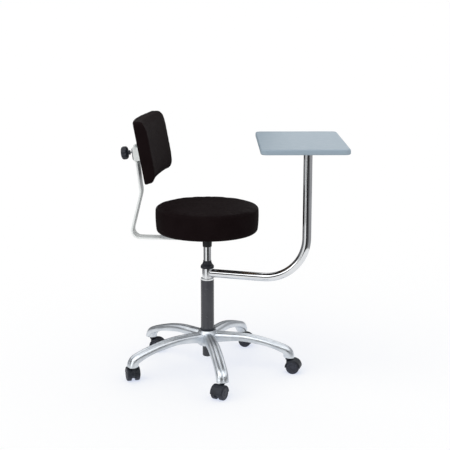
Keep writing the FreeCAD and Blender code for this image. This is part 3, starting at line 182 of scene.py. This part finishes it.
# Each hard finish: its dark, light and worn colours, the size of its tone in mm, its roughness,
# the size and depth of its grain in mm, and what else it needs
HARD_FINISHES = {
    # polished cast aluminium: silver with a faint cloudiness left by the polishing wheel
    "cast_aluminium": (("#ccd2d9", "#dde2e7", "#e6e9ec"), 35, (0.3, 0.4), 2.5, 0.004, {"Metallic": 1.0}),
    # zinc-plated steel: slightly blue, cloudy, never mirror bright
    "bright_steel": (("#a3a8ad", "#bcc0c3", "#cdd0d2"), 8, (0.25, 0.4), 0.8, 0.004, {"Metallic": 1.0}),
    # dark slate powder coat: satin with the orange peel of baked powder
    "slate_paint": (("#36373d", "#3e3f45", "#52535a"), 50, (0.2, 0.28), 1.2, 0.006,
                    {"Specular_IOR_Level": 0.45}),
    # black powder coat: the same film in black, greyer where it is knocked
    "black_paint": (("#161719", "#1d1e21", "#333437"), 40, (0.38, 0.5), 1.0, 0.012,
                    {"Specular_IOR_Level": 0.3}),
    # pale powder coat on the bar and clamp: off-white, a little green
    "pale_paint": (("#ecf0ef", "#f3f6f5", "#f7f9f8"), 30, (0.35, 0.45), 1.1, 0.012, {}),
    # chrome plate: a mirror with just enough haze to soften what it shows
    "chrome": (("#d9dbdd", "#e4e6e8", "#eceded"), 60, (0.06, 0.1), 9, 0.0006, {"Metallic": 1.0}),
    # natural nylon bushes: milky and dull
    "nylon": (("#cfcabb", "#dbd7ca", "#e2dfd4"), 10, (0.45, 0.6), 1.0, 0.01, {}),
    # moulded black plastic: blue-black with a fine spark-eroded grain, polished grey along its edges
    "black_plastic": (("#1c1f26", "#252932", "#3a3e48"), 30, (0.4, 0.52), 0.6, 0.012,
                      {"Specular_IOR_Level": 0.3}),
    # caster wheels: slate-grey nylon, scuffed along the rim
    "wheel_plastic": (("#2b2d36", "#363944", "#4a4d58"), 12, (0.38, 0.52), 0.8, 0.012,
                      {"Specular_IOR_Level": 0.3}),
    # rubber buffer: dead matt black
    "black_rubber": (("#111111", "#191919", "#222222"), 10, (0.75, 0.9), 0.8, 0.02, {}),
    # pressed desk laminate: pale blue-grey and matt, with a fine speckle and the faintest orange peel
    "grey_laminate": (("#92a3b0", "#9cacb8", "#a9b7c2"), 1.6, (0.42, 0.5), 0.9, 0.01,
                      {"cloud_mm": 25, "tone_detail": 4.0, "grain_detail": 3.0, "Specular_IOR_Level": 0.3}),
}

MATERIALS = {name: hard_finish(name, *row[:-1], **row[-1]) for name, row in HARD_FINISHES.items()}
MATERIALS["plywood"] = plywood()
MATERIALS["black_vinyl"] = vinyl()

for entry in frame["record"]["subparts"]:
    solid = NODES[entry["node"]].data
    solid.materials.clear()
    solid.materials.append(MATERIALS[entry["material_slot"]])


# Pieces


def settled(name, bm):
    """A bmesh as a mesh, sorted by its corners: spin and extrude leave another order in each run."""
    bm.verts.index_update()
    for parts in (bm.edges, bm.faces):
        ranked = sorted(parts, key=lambda part: sorted(corner.index for corner in part.verts))
        for rank, part in enumerate(ranked):
            part.index = rank
        parts.sort()
    mesh = bpy.data.meshes.new(name)
    bm.to_mesh(mesh)
    bm.free()
    return mesh


def make_piece(name, source, slot, body, crease=math.pi):
    """An object from a bmesh or a mesh, smooth but for its creases, with a slot's finish, on a body."""
    if isinstance(source, bmesh.types.BMesh):
        bmesh.ops.recalc_face_normals(source, faces=source.faces)
        mesh = settled(name, source)
    else:
        mesh = source
    mesh.materials.clear()
    mesh.materials.append(MATERIALS[slot])
    for face in mesh.polygons:
        face.use_smooth = True
    mesh.set_sharp_from_angle(angle=crease)
    piece = bpy.data.objects.new(name, mesh)
    bpy.context.scene.collection.objects.link(piece)
    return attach(piece, body)


def loose_object(name, bm):
    """A bmesh as an object that is still to be worked on."""
    piece = bpy.data.objects.new(name, settled(name, bm))
    bpy.context.scene.collection.objects.link(piece)
    return piece


def evaluated(piece):
    """The mesh of an object with its modifiers applied."""
    graph = bpy.context.evaluated_depsgraph_get()
    return bpy.data.meshes.new_from_object(piece.evaluated_get(graph))


def merged(node):
    """A solid's mesh with its loose triangles joined."""
    bm = bmesh.new()
    bm.from_mesh(NODES[node].data)
    bmesh.ops.remove_doubles(bm, verts=bm.verts, dist=MERGE)
    return bm


def turned(bm, profile, foot, axis, sides):
    """Spin a profile of radius and height round an axis through a foot. Its ends are on the axis."""
    start = axis.orthogonal().normalized()
    points = [bm.verts.new(foot + start * radius + axis * height) for radius, height in profile]
    edges = [bm.edges.new(pair) for pair in zip(points, points[1:])]
    bmesh.ops.spin(bm, geom=points + edges, cent=foot, axis=axis, angle=FULL_TURN, steps=sides,
                   use_merge=True)
    bmesh.ops.remove_doubles(bm, verts=bm.verts, dist=MERGE)


def polar(place, foot, axis):
    """A point's spoke from an axis, its angle from where a profile starts, and its height."""
    start = axis.orthogonal().normalized()
    offset = place - foot
    height = offset.dot(axis)
    spoke = offset - axis * height
    return spoke, math.atan2(spoke.dot(axis.cross(start)), spoke.dot(start)), height


def section(place, first, second):
    """A frame at a place whose first two directions carry a flat shape."""
    third = first.cross(second).normalized() * first.length
    return Matrix.Translation(place) @ Matrix((first, second, third)).transposed().to_4x4()


def drawn(bm, face, frames, closed=False):
    """Extrude a face from its frame to the next ones. A closed run is joined to its start."""
    start = face
    for before, after in zip(frames, frames[1:]):
        made = bmesh.ops.extrude_face_region(bm, geom=[face, *face.edges])["geom"]
        face = next(item for item in made if isinstance(item, bmesh.types.BMFace))
        bmesh.ops.transform(bm, matrix=after @ before.inverted(), verts=list(face.verts))
    if closed:
        loops = list(start.edges) + list(face.edges)
        bmesh.ops.delete(bm, geom=[start, face], context="FACES_ONLY")
        bmesh.ops.bridge_loops(bm, edges=loops)


# Soft covers


def remeshed(node, voxel):
    """An evenly meshed copy of a soft solid, as a loose object."""
    piece = loose_object(f"{node}_start", merged(node))
    remesh = piece.modifiers.new("Even", "REMESH")
    remesh.mode = "VOXEL"
    remesh.voxel_size = voxel
    piece.data = evaluated(piece)
    piece.modifiers.clear()
    return piece


def puffed(piece, held, shrink, pressure, cap, frames=14):
    """Swell a pad as stuffed cover by a cloth simulation. Points that held picks out stay still."""
    mesh = piece.data
    fixed = [vertex.index for vertex in mesh.vertices if held(vertex.co)]
    still = set(fixed)
    for vertex in mesh.vertices:
        if vertex.index not in still:
            vertex.co -= vertex.normal * shrink
    start = [vertex.co.copy() for vertex in mesh.vertices]
    group = piece.vertex_groups.new(name="held")
    group.add(fixed, 1.0, "REPLACE")
    cloth = piece.modifiers.new("Cover", "CLOTH")
    cloth.settings.quality = 5
    cloth.settings.mass = 0.4
    cloth.settings.tension_stiffness = 20
    cloth.settings.compression_stiffness = 20
    cloth.settings.bending_stiffness = 5
    cloth.settings.use_pressure = True
    cloth.settings.uniform_pressure_force = pressure
    cloth.settings.effector_weights.gravity = 0
    cloth.settings.vertex_group_mass = "held"
    cloth.point_cache.frame_start = 1
    cloth.point_cache.frame_end = frames
    scene = bpy.context.scene
    for number in range(1, frames + 1):
        scene.frame_set(number)
    swollen = evaluated(piece)
    piece.modifiers.clear()
    piece.data = swollen
    scene.frame_set(1)
    for vertex, origin in zip(swollen.vertices, start):
        move = vertex.co - origin
        if move.length > cap:
            vertex.co = origin + move.normalized() * cap
    return piece


def smoothed(piece, factor):
    """One subdivision of a piece after a little smoothing, as a mesh. The piece itself goes."""
    even = piece.modifiers.new("Soft", "SMOOTH")
    even.factor = factor
    even.iterations = 3
    level = piece.modifiers.new("Fine", "SUBSURF")
    level.levels = 1
    level.render_levels = 1
    mesh = evaluated(piece)
    bpy.data.objects.remove(piece)
    return mesh


# The seat's cover in mm: crowned top, rounded rim, sides, the tuck under them and the hem on the board
SEAT_SIDES = 160
SEAT_TOP = 644
CROWN_EDGE = 177
CROWN_DROP = 7
CROWN_RINGS = (8, 20, 34, 48, 62, 76, 90, 104, 118, 130, 142, 153, 163, 171)
RIM_ROUND = 15
RIM_HEIGHT = SEAT_TOP - CROWN_DROP - RIM_ROUND
SIDE_TAPER = 2.5
SIDE_SWELL = 5.7
SIDE_ROWS = 12
TUCK_ROUND = 11
TUCK_HEIGHT = 551
HEM_OUTER = CROWN_EDGE + RIM_ROUND - SIDE_TAPER - TUCK_ROUND
HEM_INNER = 158
HEM_NOTCH = 177.4
HEM_TOP = 539.9
HANGER_HALF = 53
BOARD_EDGE = 176.3
BOARD_TOP = 552.3

# The unevenness of the hem's cut edge: size in mm, how many round the seat, and where each starts
HEM_WAVES = ((1.6, 9, 0), (1.1, 23, 1))

# The hem's fold: how far in it goes, as a share of its reach, and its height in mm
HEM_FOLD = ((0.15, 539.1), (0.4, 538.7), (0.7, 538.7), (0.97, 538.7), (1, 539.2), (0.97, 539.75),
            (0.6, 539.75), (0.2, 539.75))

# Up the board's edge and over it, as radius and height in mm
BOARD_LINE = ((BOARD_EDGE, 541.2), (BOARD_EDGE, 546), (BOARD_EDGE, 551), (174, BOARD_TOP), (120, BOARD_TOP),
              (60, BOARD_TOP), (8, BOARD_TOP))

# What of the cover stays still, in mm: all below one height, and inside a radius all below another
HELD_BELOW = 541
HELD_RADIUS = 176.5
HELD_ON_BOARD = 553

# The pulls that the staples leave above the hem, outside a radius, in mm
PULL_FOOT = 540
PULL_START = 540.5
PULL_RADIUS = 176.8
PULL_RISE = 30
PULL_DEPTH = 0.8
PULLS_ROUND = 7
PULLS_ROW = 3.1

# The faint waves of the crown, in mm and to the metre
WAVE_ABOVE = 630
WAVE_HEIGHT = 0.5
WAVES = 14

# How much of the back pad's depth the shell holds still
PAD_HELD = 11 * MM

# The staples in mm: how far out they sit, half their wire, and the wire's run along and up
STAPLE_COUNT = 44
STAPLE_MARGIN = 0.05
STAPLE_SWAY = 0.3
STAPLE_RING = 167.5
STAPLE_HALF_WIRE = 0.5
STAPLE_RUN = ((-5.2, 539.4), (-5.2, 538.6), (-4.6, 538.1), (4.6, 538.1), (5.2, 538.6), (5.2, 539.4))
STAPLE_CROWN = 5


def hem_reach(angle):
    """How far in the cover's hem goes under the board, in mm. The bar's hanger has a notch in it."""
    if math.cos(angle) < 0 and abs(HEM_INNER * math.sin(angle)) < HANGER_HALF:
        return HEM_NOTCH
    return HEM_INNER + sum(size * math.sin(count * angle + start) for size, count, start in HEM_WAVES)


def quarter(middle, height, radius, step):
    """A quarter circle from its outermost point down to its lowest, as radius and height."""
    turns = [math.radians(degrees) for degrees in range(0, 91, step)]
    return [(middle + radius * math.cos(turn), height - radius * math.sin(turn)) for turn in turns]


def seat_profile():
    """The cover as radius and height in mm, from the middle of its top, round its hem and over the board."""
    crown = [(radius, SEAT_TOP - CROWN_DROP * (radius / CROWN_EDGE) ** 2) for radius in CROWN_RINGS]
    rim = [(radius, 2 * RIM_HEIGHT - height)
           for radius, height in reversed(quarter(CROWN_EDGE, RIM_HEIGHT, RIM_ROUND, 15))]
    side = []
    for row in range(1, SIDE_ROWS):
        share = row / SIDE_ROWS
        radius = CROWN_EDGE + RIM_ROUND - SIDE_TAPER * share + SIDE_SWELL * share * (1 - share)
        side.append((radius, RIM_HEIGHT - (RIM_HEIGHT - TUCK_HEIGHT) * share))
    tuck = quarter(HEM_OUTER, TUCK_HEIGHT, TUCK_ROUND, 18)
    hem = [(HEM_OUTER - share * (HEM_OUTER - HEM_INNER), height) for share, height in HEM_FOLD]
    return [(0, SEAT_TOP), *crown, *rim, *side, *tuck, *hem, *BOARD_LINE, (0, BOARD_TOP)]


def seat_cushion():
    """The round cushion: a firm crowned top, sides drawn in below and small pulls where it is stapled."""
    bm = bmesh.new()
    profile = [(radius * MM, height * MM) for radius, height in seat_profile()]
    turned(bm, profile, Vector((0, 0, 0)), UP, SEAT_SIDES)
    for vertex in bm.verts:
        place = vertex.co
        if place.z < HEM_TOP * MM:
            share = (HEM_OUTER - place.xy.length / MM) / (HEM_OUTER - HEM_INNER)
            reach = HEM_OUTER - share * (HEM_OUTER - hem_reach(math.atan2(place.y, place.x)))
            place.xy = place.xy.normalized() * reach * MM
    bmesh.ops.recalc_face_normals(bm, faces=bm.faces)

    def held(place):
        on_board = place.z < HELD_ON_BOARD * MM and place.xy.length < HELD_RADIUS * MM
        return place.z < HELD_BELOW * MM or on_board

    start = loose_object("seat_start", bm)
    mesh = smoothed(puffed(start, held, shrink=0.8 * MM, pressure=2, cap=1.6 * MM), factor=0.1)
    for vertex in mesh.vertices:
        place = vertex.co
        if place.z > PULL_START * MM and place.xy.length > PULL_RADIUS * MM:
            low = max(0.0, 1 - (place.z - PULL_FOOT * MM) / (PULL_RISE * MM))
            angle = math.atan2(place.y, place.x)
            spot = Vector((math.cos(angle) * PULLS_ROUND, math.sin(angle) * PULLS_ROUND, PULLS_ROW))
            pull = low * low * (0.5 + 0.5 * noise.noise(spot))
            vertex.co -= vertex.normal * pull * PULL_DEPTH * MM
        elif place.z > WAVE_ABOVE * MM:
            vertex.co.z += WAVE_HEIGHT * MM * noise.noise(place * WAVES)
    piece = make_piece("seat_cushion_cover", mesh, "black_vinyl", "seat")
    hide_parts("seat_cushion")


def hem_staples():
    """Wire staples that hold the cover's hem to the board."""
    bm = bmesh.new()
    for i in range(STAPLE_COUNT):
        angle = FULL_TURN * (i + 0.5) / STAPLE_COUNT
        if HEM_NOTCH in (hem_reach(angle - STAPLE_MARGIN), hem_reach(angle + STAPLE_MARGIN)):
            continue
        tilt = angle + math.pi / 2 + STAPLE_SWAY * math.sin(12.7 * i)
        middle = Vector((math.cos(angle), math.sin(angle), 0)) * STAPLE_RING
        along = Vector((math.cos(tilt), math.sin(tilt), 0))
        level = UP.cross(along)
        frames = []
        for step, height in STAPLE_RUN:
            lean = UP
            if abs(step) > STAPLE_CROWN:
                lean = along * -math.copysign(1, step)
            place = (middle + along * step + UP * height) * MM
            frames.append(section(place, level * STAPLE_HALF_WIRE * MM, lean * STAPLE_HALF_WIRE * MM))
        start = bmesh.ops.create_grid(bm, x_segments=1, y_segments=1, size=1, matrix=frames[0])
        drawn(bm, start["verts"][0].link_faces[0], frames)
    make_piece("hem_staples", bm, "bright_steel", "seat", math.radians(40))


def back_pad():
    """The curved back pad, fuller in its middle than at its edges."""
    upright = Matrix.Rotation(-PAD_LEAN, 3, "Y").inverted()

    def held(place):
        local = upright @ (place - PAD_FOOT)
        bow = BACK_RADIUS - math.sqrt(BACK_RADIUS ** 2 - local.y ** 2)
        return local.x - bow < PAD_HELD

    start = remeshed("back_pad", voxel=5 * MM)
    mesh = smoothed(puffed(start, held, shrink=1.2 * MM, pressure=3, cap=2.5 * MM), factor=0.45)
    piece = make_piece("back_pad_cover", mesh, "black_vinyl", "backrest")
    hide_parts("back_pad")


# Star base

# Where the legs' arch starts and ends: distance from the axis and height of the lobes' crest in mm, and slope
ARCH_START = (110, 147.85, -0.03)
ARCH_END = (296, 106.0, -0.37)
ARCH_STEP = 2
ARCH_EASINGS = 12
LOBE_OFFSET = 8
ABOVE_LEGS = 300


def arch_height(reach):
    """Height in mm of a leg's crest on one even arch from the hub to the turned-down tip."""
    start, start_height, start_slope = ARCH_START
    end, end_height, end_slope = ARCH_END
    run = end - start
    t = (reach - start) / run
    return ((2 * t ** 3 - 3 * t ** 2 + 1) * start_height + (t ** 3 - 2 * t ** 2 + t) * run * start_slope
            + (3 * t ** 2 - 2 * t ** 3) * end_height + (t ** 3 - t ** 2) * run * end_slope)


def arch_lifts():
    """How far the solid's crest is from that arch, in mm, at even steps along a leg."""
    mesh = NODES["star_base"].data
    corners = [vertex.co for vertex in mesh.vertices]
    tree = BVHTree.FromPolygons(corners, [face.vertices for face in mesh.polygons])
    lifts = []
    for reach in range(ARCH_START[0], ARCH_END[0] + 1, ARCH_STEP):
        crest = tree.ray_cast(Vector((reach, LOBE_OFFSET, ABOVE_LEGS)) * MM, -UP)[0]
        lifts.append(arch_height(reach) - crest.z / MM)
    lifts[0] = 0.0
    lifts[-1] = 0.0
    for _ in range(ARCH_EASINGS):
        between = [(a + 2 * b + c) / 4 for a, b, c in zip(lifts, lifts[1:], lifts[2:])]
        lifts = [0.0, *between, 0.0]
    return lifts


def star_base():
    """The cast star with its legs' crests on one even arch, as a polished casting shows them."""
    lifts = arch_lifts()

    def lift(reach):
        place = (reach / MM - ARCH_START[0]) / ARCH_STEP
        if place <= 0 or place >= len(lifts) - 1:
            return 0.0
        low = int(place)
        return (lifts[low] + (lifts[low + 1] - lifts[low]) * (place - low)) * MM

    mesh = NODES["star_base"].data.copy()
    normals = [corner.vector.copy() for corner in mesh.corner_normals]
    places = [vertex.co.copy() for vertex in mesh.vertices]
    for corner, loop in enumerate(mesh.loops):
        place = places[loop.vertex_index]
        reach = place.xy.length
        slope = (lift(reach + MM) - lift(reach - MM)) / (2 * MM)
        outward = place.xy / reach
        normal = normals[corner]
        normals[corner] = (normal - Vector((outward.x, outward.y, 0)) * slope * normal.z).normalized()
    for vertex, place in zip(mesh.vertices, places):
        vertex.co.z += lift(place.xy.length)
    mesh.normals_split_custom_set(normals)
    piece = bpy.data.objects.new("star_base_polished", mesh)
    bpy.context.scene.collection.objects.link(piece)
    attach(piece, "base")
    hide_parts("star_base")


# Fasteners and welds

PAD_FORWARD = Vector((math.cos(PAD_LEAN), 0, math.sin(PAD_LEAN)))
STUD_FORWARD = Vector((math.cos(CLAMP_LEAN), 0, math.sin(CLAMP_LEAN)))
SCREW_SIDES = 24
SIXTH = FULL_TURN / 6
THREAD_PITCH = 1.25 * MM
THREAD_DEPTH = 0.55 * MM
THREAD_RINGS = 6
THREAD_SIDES = 20
BEAD_SIDES = 10
BEAD_RIPPLE = 0.1
ARM_BEAD = 1.3 * MM
ARM_BEAD_STEPS = 120
ARM_BEAD_GAP = 0.3 * MM
SOCKET_BEAD = 1.6 * MM


def islands(node):
    """The separate solids of a node, each as its points."""
    bm = merged(node)
    done = set()
    groups = []
    for seed in bm.verts:
        if seed in done:
            continue
        done.add(seed)
        waiting = [seed]
        group = []
        while waiting:
            vertex = waiting.pop()
            group.append(vertex.co.copy())
            for edge in vertex.link_edges:
                other = edge.other_vert(vertex)
                if other not in done:
                    done.add(other)
                    waiting.append(other)
        groups.append(group)
    bm.free()
    return groups


def extents(points, axis):
    """Where an island lies along an axis, and the foot of its middle line."""
    along = [place.dot(axis) for place in points]
    low = Vector([min(place[i] for place in points) for i in range(3)])
    high = Vector([max(place[i] for place in points) for i in range(3)])
    middle = (low + high) / 2
    return min(along), max(along), middle - axis * middle.dot(axis)


def screws(node, axis, body, head, height, shank):
    """Button-head screws with hexagonal sockets for a node's plain ones. The axis runs from head to tip."""
    socket = 0.42 * head
    bm = bmesh.new()
    for points in islands(node):
        low, high, foot = extents(points, axis)
        tip = high - low
        profile = (
            (0, 0.65 * height), (socket, 0.6 * height), (socket, 0.12 * height), (1.3 * socket, 0),
            (0.72 * head, 0.05 * height), (0.92 * head, 0.3 * height), (head, 0.7 * height), (head, height),
            (shank, height), (shank, tip - 0.5 * shank), (0.6 * shank, tip), (0, tip),
        )
        turned(bm, [(radius, low + step) for radius, step in profile], foot, axis, SCREW_SIDES)
        for vertex in bm.verts:
            spoke, angle, _ = polar(vertex.co, foot, axis)
            if abs(spoke.length - socket) < MERGE:
                vertex.co += spoke * (1 / math.cos(angle % SIXTH - SIXTH / 2) - 1)
    piece = make_piece(f"{node}_socketed", bm, "bright_steel", body, math.radians(35))
    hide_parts(node)


def threaded_stud():
    """The knob's stud with its rolled thread."""
    points = [place for group in islands("knob_stud") for place in group]
    low, high, foot = extents(points, STUD_FORWARD)
    steps = int((high - low) / THREAD_PITCH * THREAD_RINGS)
    rings = [(STUD_RADIUS, low + (high - low) * i / steps) for i in range(steps + 1)]
    bm = bmesh.new()
    turned(bm, [(0, low), *rings, (0, high)], foot, STUD_FORWARD, THREAD_SIDES)
    for vertex in bm.verts:
        spoke, angle, height = polar(vertex.co, foot, STUD_FORWARD)
        if spoke.length > MERGE:
            phase = ((height - low) / THREAD_PITCH - angle / FULL_TURN) % 1
            vertex.co -= spoke.normalized() * THREAD_DEPTH * abs(2 * phase - 1)
    piece = make_piece("knob_stud_thread", bm, "bright_steel", "knob", math.radians(50))
    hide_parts("knob_stud")


def bead(bm, path, radius, middle, closed=False):
    """A weld bead along a path round a middle, with the ripples that the torch leaves."""
    frames = []
    last = len(path) - 1
    for i, place in enumerate(path):
        size = radius * (1 + BEAD_RIPPLE * math.sin(i * math.pi / 2))
        if closed:
            tangent = (path[(i + 1) % len(path)] - path[i - 1]).normalized()
        else:
            tangent = (path[min(i + 1, last)] - path[max(i - 1, 0)]).normalized()
            if i in (0, last):
                size = 0.4 * radius
        outward = place - middle
        outward = (outward - tangent * outward.dot(tangent)).normalized()
        frames.append(section(place, tangent.cross(outward) * size, outward * size))
    start = bmesh.ops.create_circle(bm, cap_ends=True, segments=BEAD_SIDES, radius=1, matrix=frames[0])
    drawn(bm, start["verts"][0].link_faces[0], frames, closed)


def arm_weld():
    """The weld round the arm where it meets its collar."""
    turn = Matrix.Rotation(ARM_TURN, 3, "Z")
    path = []
    for i in range(ARM_BEAD_STEPS):
        angle = FULL_TURN * i / ARM_BEAD_STEPS
        y = (ARM_RADIUS + ARM_BEAD_GAP) * math.cos(angle)
        z = (ARM_RADIUS + ARM_BEAD_GAP) * math.sin(angle)
        x = math.sqrt(COLLAR_RADIUS ** 2 - y * y) + ARM_BEAD_GAP
        path.append(turn @ Vector((x, y, ARM_HEIGHT + z)))
    bm = bmesh.new()
    bead(bm, path, ARM_BEAD, turn @ Vector((COLLAR_RADIUS, 0, ARM_HEIGHT)), True)
    make_piece("arm_weld", bm, "chrome", "arm")


def socket_welds():
    """Two welds between the seat's socket and its plate, either side of the lever's slot."""
    bm = bmesh.new()
    middle = Vector((0, 0, PLATE_BOTTOM))
    for start in (-60, 120):
        angles = [math.radians(degrees) for degrees in range(start, start + 121, 2)]
        path = [middle + Vector((math.cos(a), math.sin(a), 0)) * SOCKET_RADIUS for a in angles]
        bead(bm, path, SOCKET_BEAD, middle)
    make_piece("socket_welds", bm, "black_paint", "seat")


star_base()
seat_cushion()
hem_staples()
back_pad()
screws("plate_bolts", UP, "seat", head=6 * MM, height=4.5 * MM, shank=3 * MM)
screws("bar_bolts", UP, "seat", head=6 * MM, height=4.5 * MM, shank=3 * MM)
screws("shell_screws", PAD_FORWARD, "backrest", head=4.5 * MM, height=2.5 * MM, shank=2.5 * MM)
screws("desk_screws", UP, "desk", head=4.2 * MM, height=2.6 * MM, shank=2.2 * MM)
threaded_stud()
arm_weld()
socket_welds()


# Studio

FLOOR_HALF = 120
LAMP_DISTANCE = 3
CARD_DISTANCE = 1.25
CARD_STEPS = 16

# Each card: its first and last angle, foot and top in metres, and grey
CARDS = (
    (-92, -52, 0.04, 0.8, 0.02),
    (-52, -27, 0.04, 0.8, 0.12),
    (-27, 84, 0.04, 0.8, 0.36),
    (84, 125, 0.04, 1.4, 0.03),
    (125, 219, 0.04, 0.8, 0.2),
    (-118, -102, 0.3, 0.95, 0.03),
)

# Each lamp: where it shines from, its strength and the angle that it fills
LAMPS = {
    "key_lamp": ((-0.45, -0.62, 0.64), 1.3, 80),
    "fill_lamp": ((0.7, -0.45, 0.55), 0.55, 90),
    "back_lamp": ((0.2, 0.8, 0.55), 0.45, 90),
}


def seen_rays(tree):
    """1 for rays that show the surroundings themselves, and 0 for those that only light by them."""
    path = add(tree, "LightPath").outputs
    total = path["Is Camera Ray"]
    for name in ("Is Glossy Ray", "Is Transmission Ray"):
        both = add(tree, "Math", {"operation": "ADD", "use_clamp": True}, Value=total, Value_001=path[name])
        total = both.outputs["Value"]
    return total


def stage_object(name, bm, surface):
    """Part of the studio, not of the object."""
    piece = loose_object(name, bm)
    piece.data.materials.append(surface)
    return piece


def studio_floor():
    """A pale floor that reads white, with the object's faint bluish shadow on it."""
    made, tree = new_material("studio_floor")
    seen = seen_rays(tree)
    tint = add(tree, "Mix", {"data_type": "RGBA"}, Factor_Float=seen,
               A_Color=(0.8, 0.8, 0.8, 1), B_Color=(0.5, 0.44, 0.27, 1))
    matt = add(tree, "BsdfDiffuse", Color=tint.outputs[MIXED])
    glow = add(tree, "Emission", Color=(0.53, 0.587, 0.747, 1), Strength=seen)
    both = add(tree, "AddShader", Shader=matt.outputs["BSDF"], Shader_001=glow.outputs["Emission"])
    add(tree, "OutputMaterial", Surface=both.outputs["Shader"])
    bm = bmesh.new()
    bmesh.ops.create_grid(bm, x_segments=1, y_segments=1, size=FLOOR_HALF)
    stage_object("studio_floor", bm, made)


def studio_card(name, start, end, foot, top, grey):
    """A curved card round the object that only bright metal and gloss show."""
    made, tree = new_material(name)
    glow = add(tree, "Emission", Color=(grey, grey, grey * 1.03, 1), Strength=1.0)
    add(tree, "OutputMaterial", Surface=glow.outputs["Emission"])
    side = Vector((math.cos(math.radians(start)), math.sin(math.radians(start)), 0)) * CARD_DISTANCE
    bm = bmesh.new()
    ends = [bm.verts.new(side + UP * level) for level in (foot, top)]
    edge = bm.edges.new(ends)
    bmesh.ops.spin(bm, geom=[*ends, edge], cent=(0, 0, 0), axis=UP, angle=math.radians(end - start),
                   steps=CARD_STEPS)
    card = stage_object(name, bm, made)
    card.visible_camera = False
    card.visible_diffuse = False
    card.visible_shadow = False


def studio():
    """Pale floor, white surround, soft lamps and the cards that give bright metal its dark lines."""
    studio_floor()
    for i, card in enumerate(CARDS):
        studio_card(f"studio_card_{i + 1}", *card)

    world = bpy.data.worlds.new("studio")
    bpy.context.scene.world = world
    world.use_nodes = True
    tree = world.node_tree
    tree.nodes.clear()
    strength = add(tree, "MapRange", Value=seen_rays(tree), To_Min=0.5, To_Max=1.0)
    sky = add(tree, "Background", Color=(1, 1, 1, 1), Strength=strength.outputs["Result"])
    add(tree, "OutputWorld", Surface=sky.outputs["Background"])

    for name, (source, energy, angle) in LAMPS.items():
        data = bpy.data.lights.new(name, "SUN")
        data.energy = energy
        data.angle = math.radians(angle)
        lamp = bpy.data.objects.new(name, data)
        lamp.location = Vector(source) * LAMP_DISTANCE
        lamp.rotation_euler = (-Vector(source)).to_track_quat("-Z", "Y").to_euler()
        bpy.context.scene.collection.objects.link(lamp)


studio()

# The photo's viewpoint, with its focal length in pixels of its width
PICTURE_WIDTH = 450
FOCAL_PIXELS = 1113.9
VIEW_FROM = (0.588, -4.001, 1.4578)
VIEW_ALONG = Vector((-0.1261, 0.9682, -0.2163))

camera_data = bpy.data.cameras.new("photo_view")
camera_data.sensor_width = 36
camera_data.lens = camera_data.sensor_width * FOCAL_PIXELS / PICTURE_WIDTH
camera = bpy.data.objects.new("photo_view", camera_data)
camera.location = VIEW_FROM
camera.rotation_euler = VIEW_ALONG.to_track_quat("-Z", "Y").to_euler()
bpy.context.scene.collection.objects.link(camera)
bpy.context.scene.camera = camera

bpy.context.scene.view_settings.view_transform = "Standard"
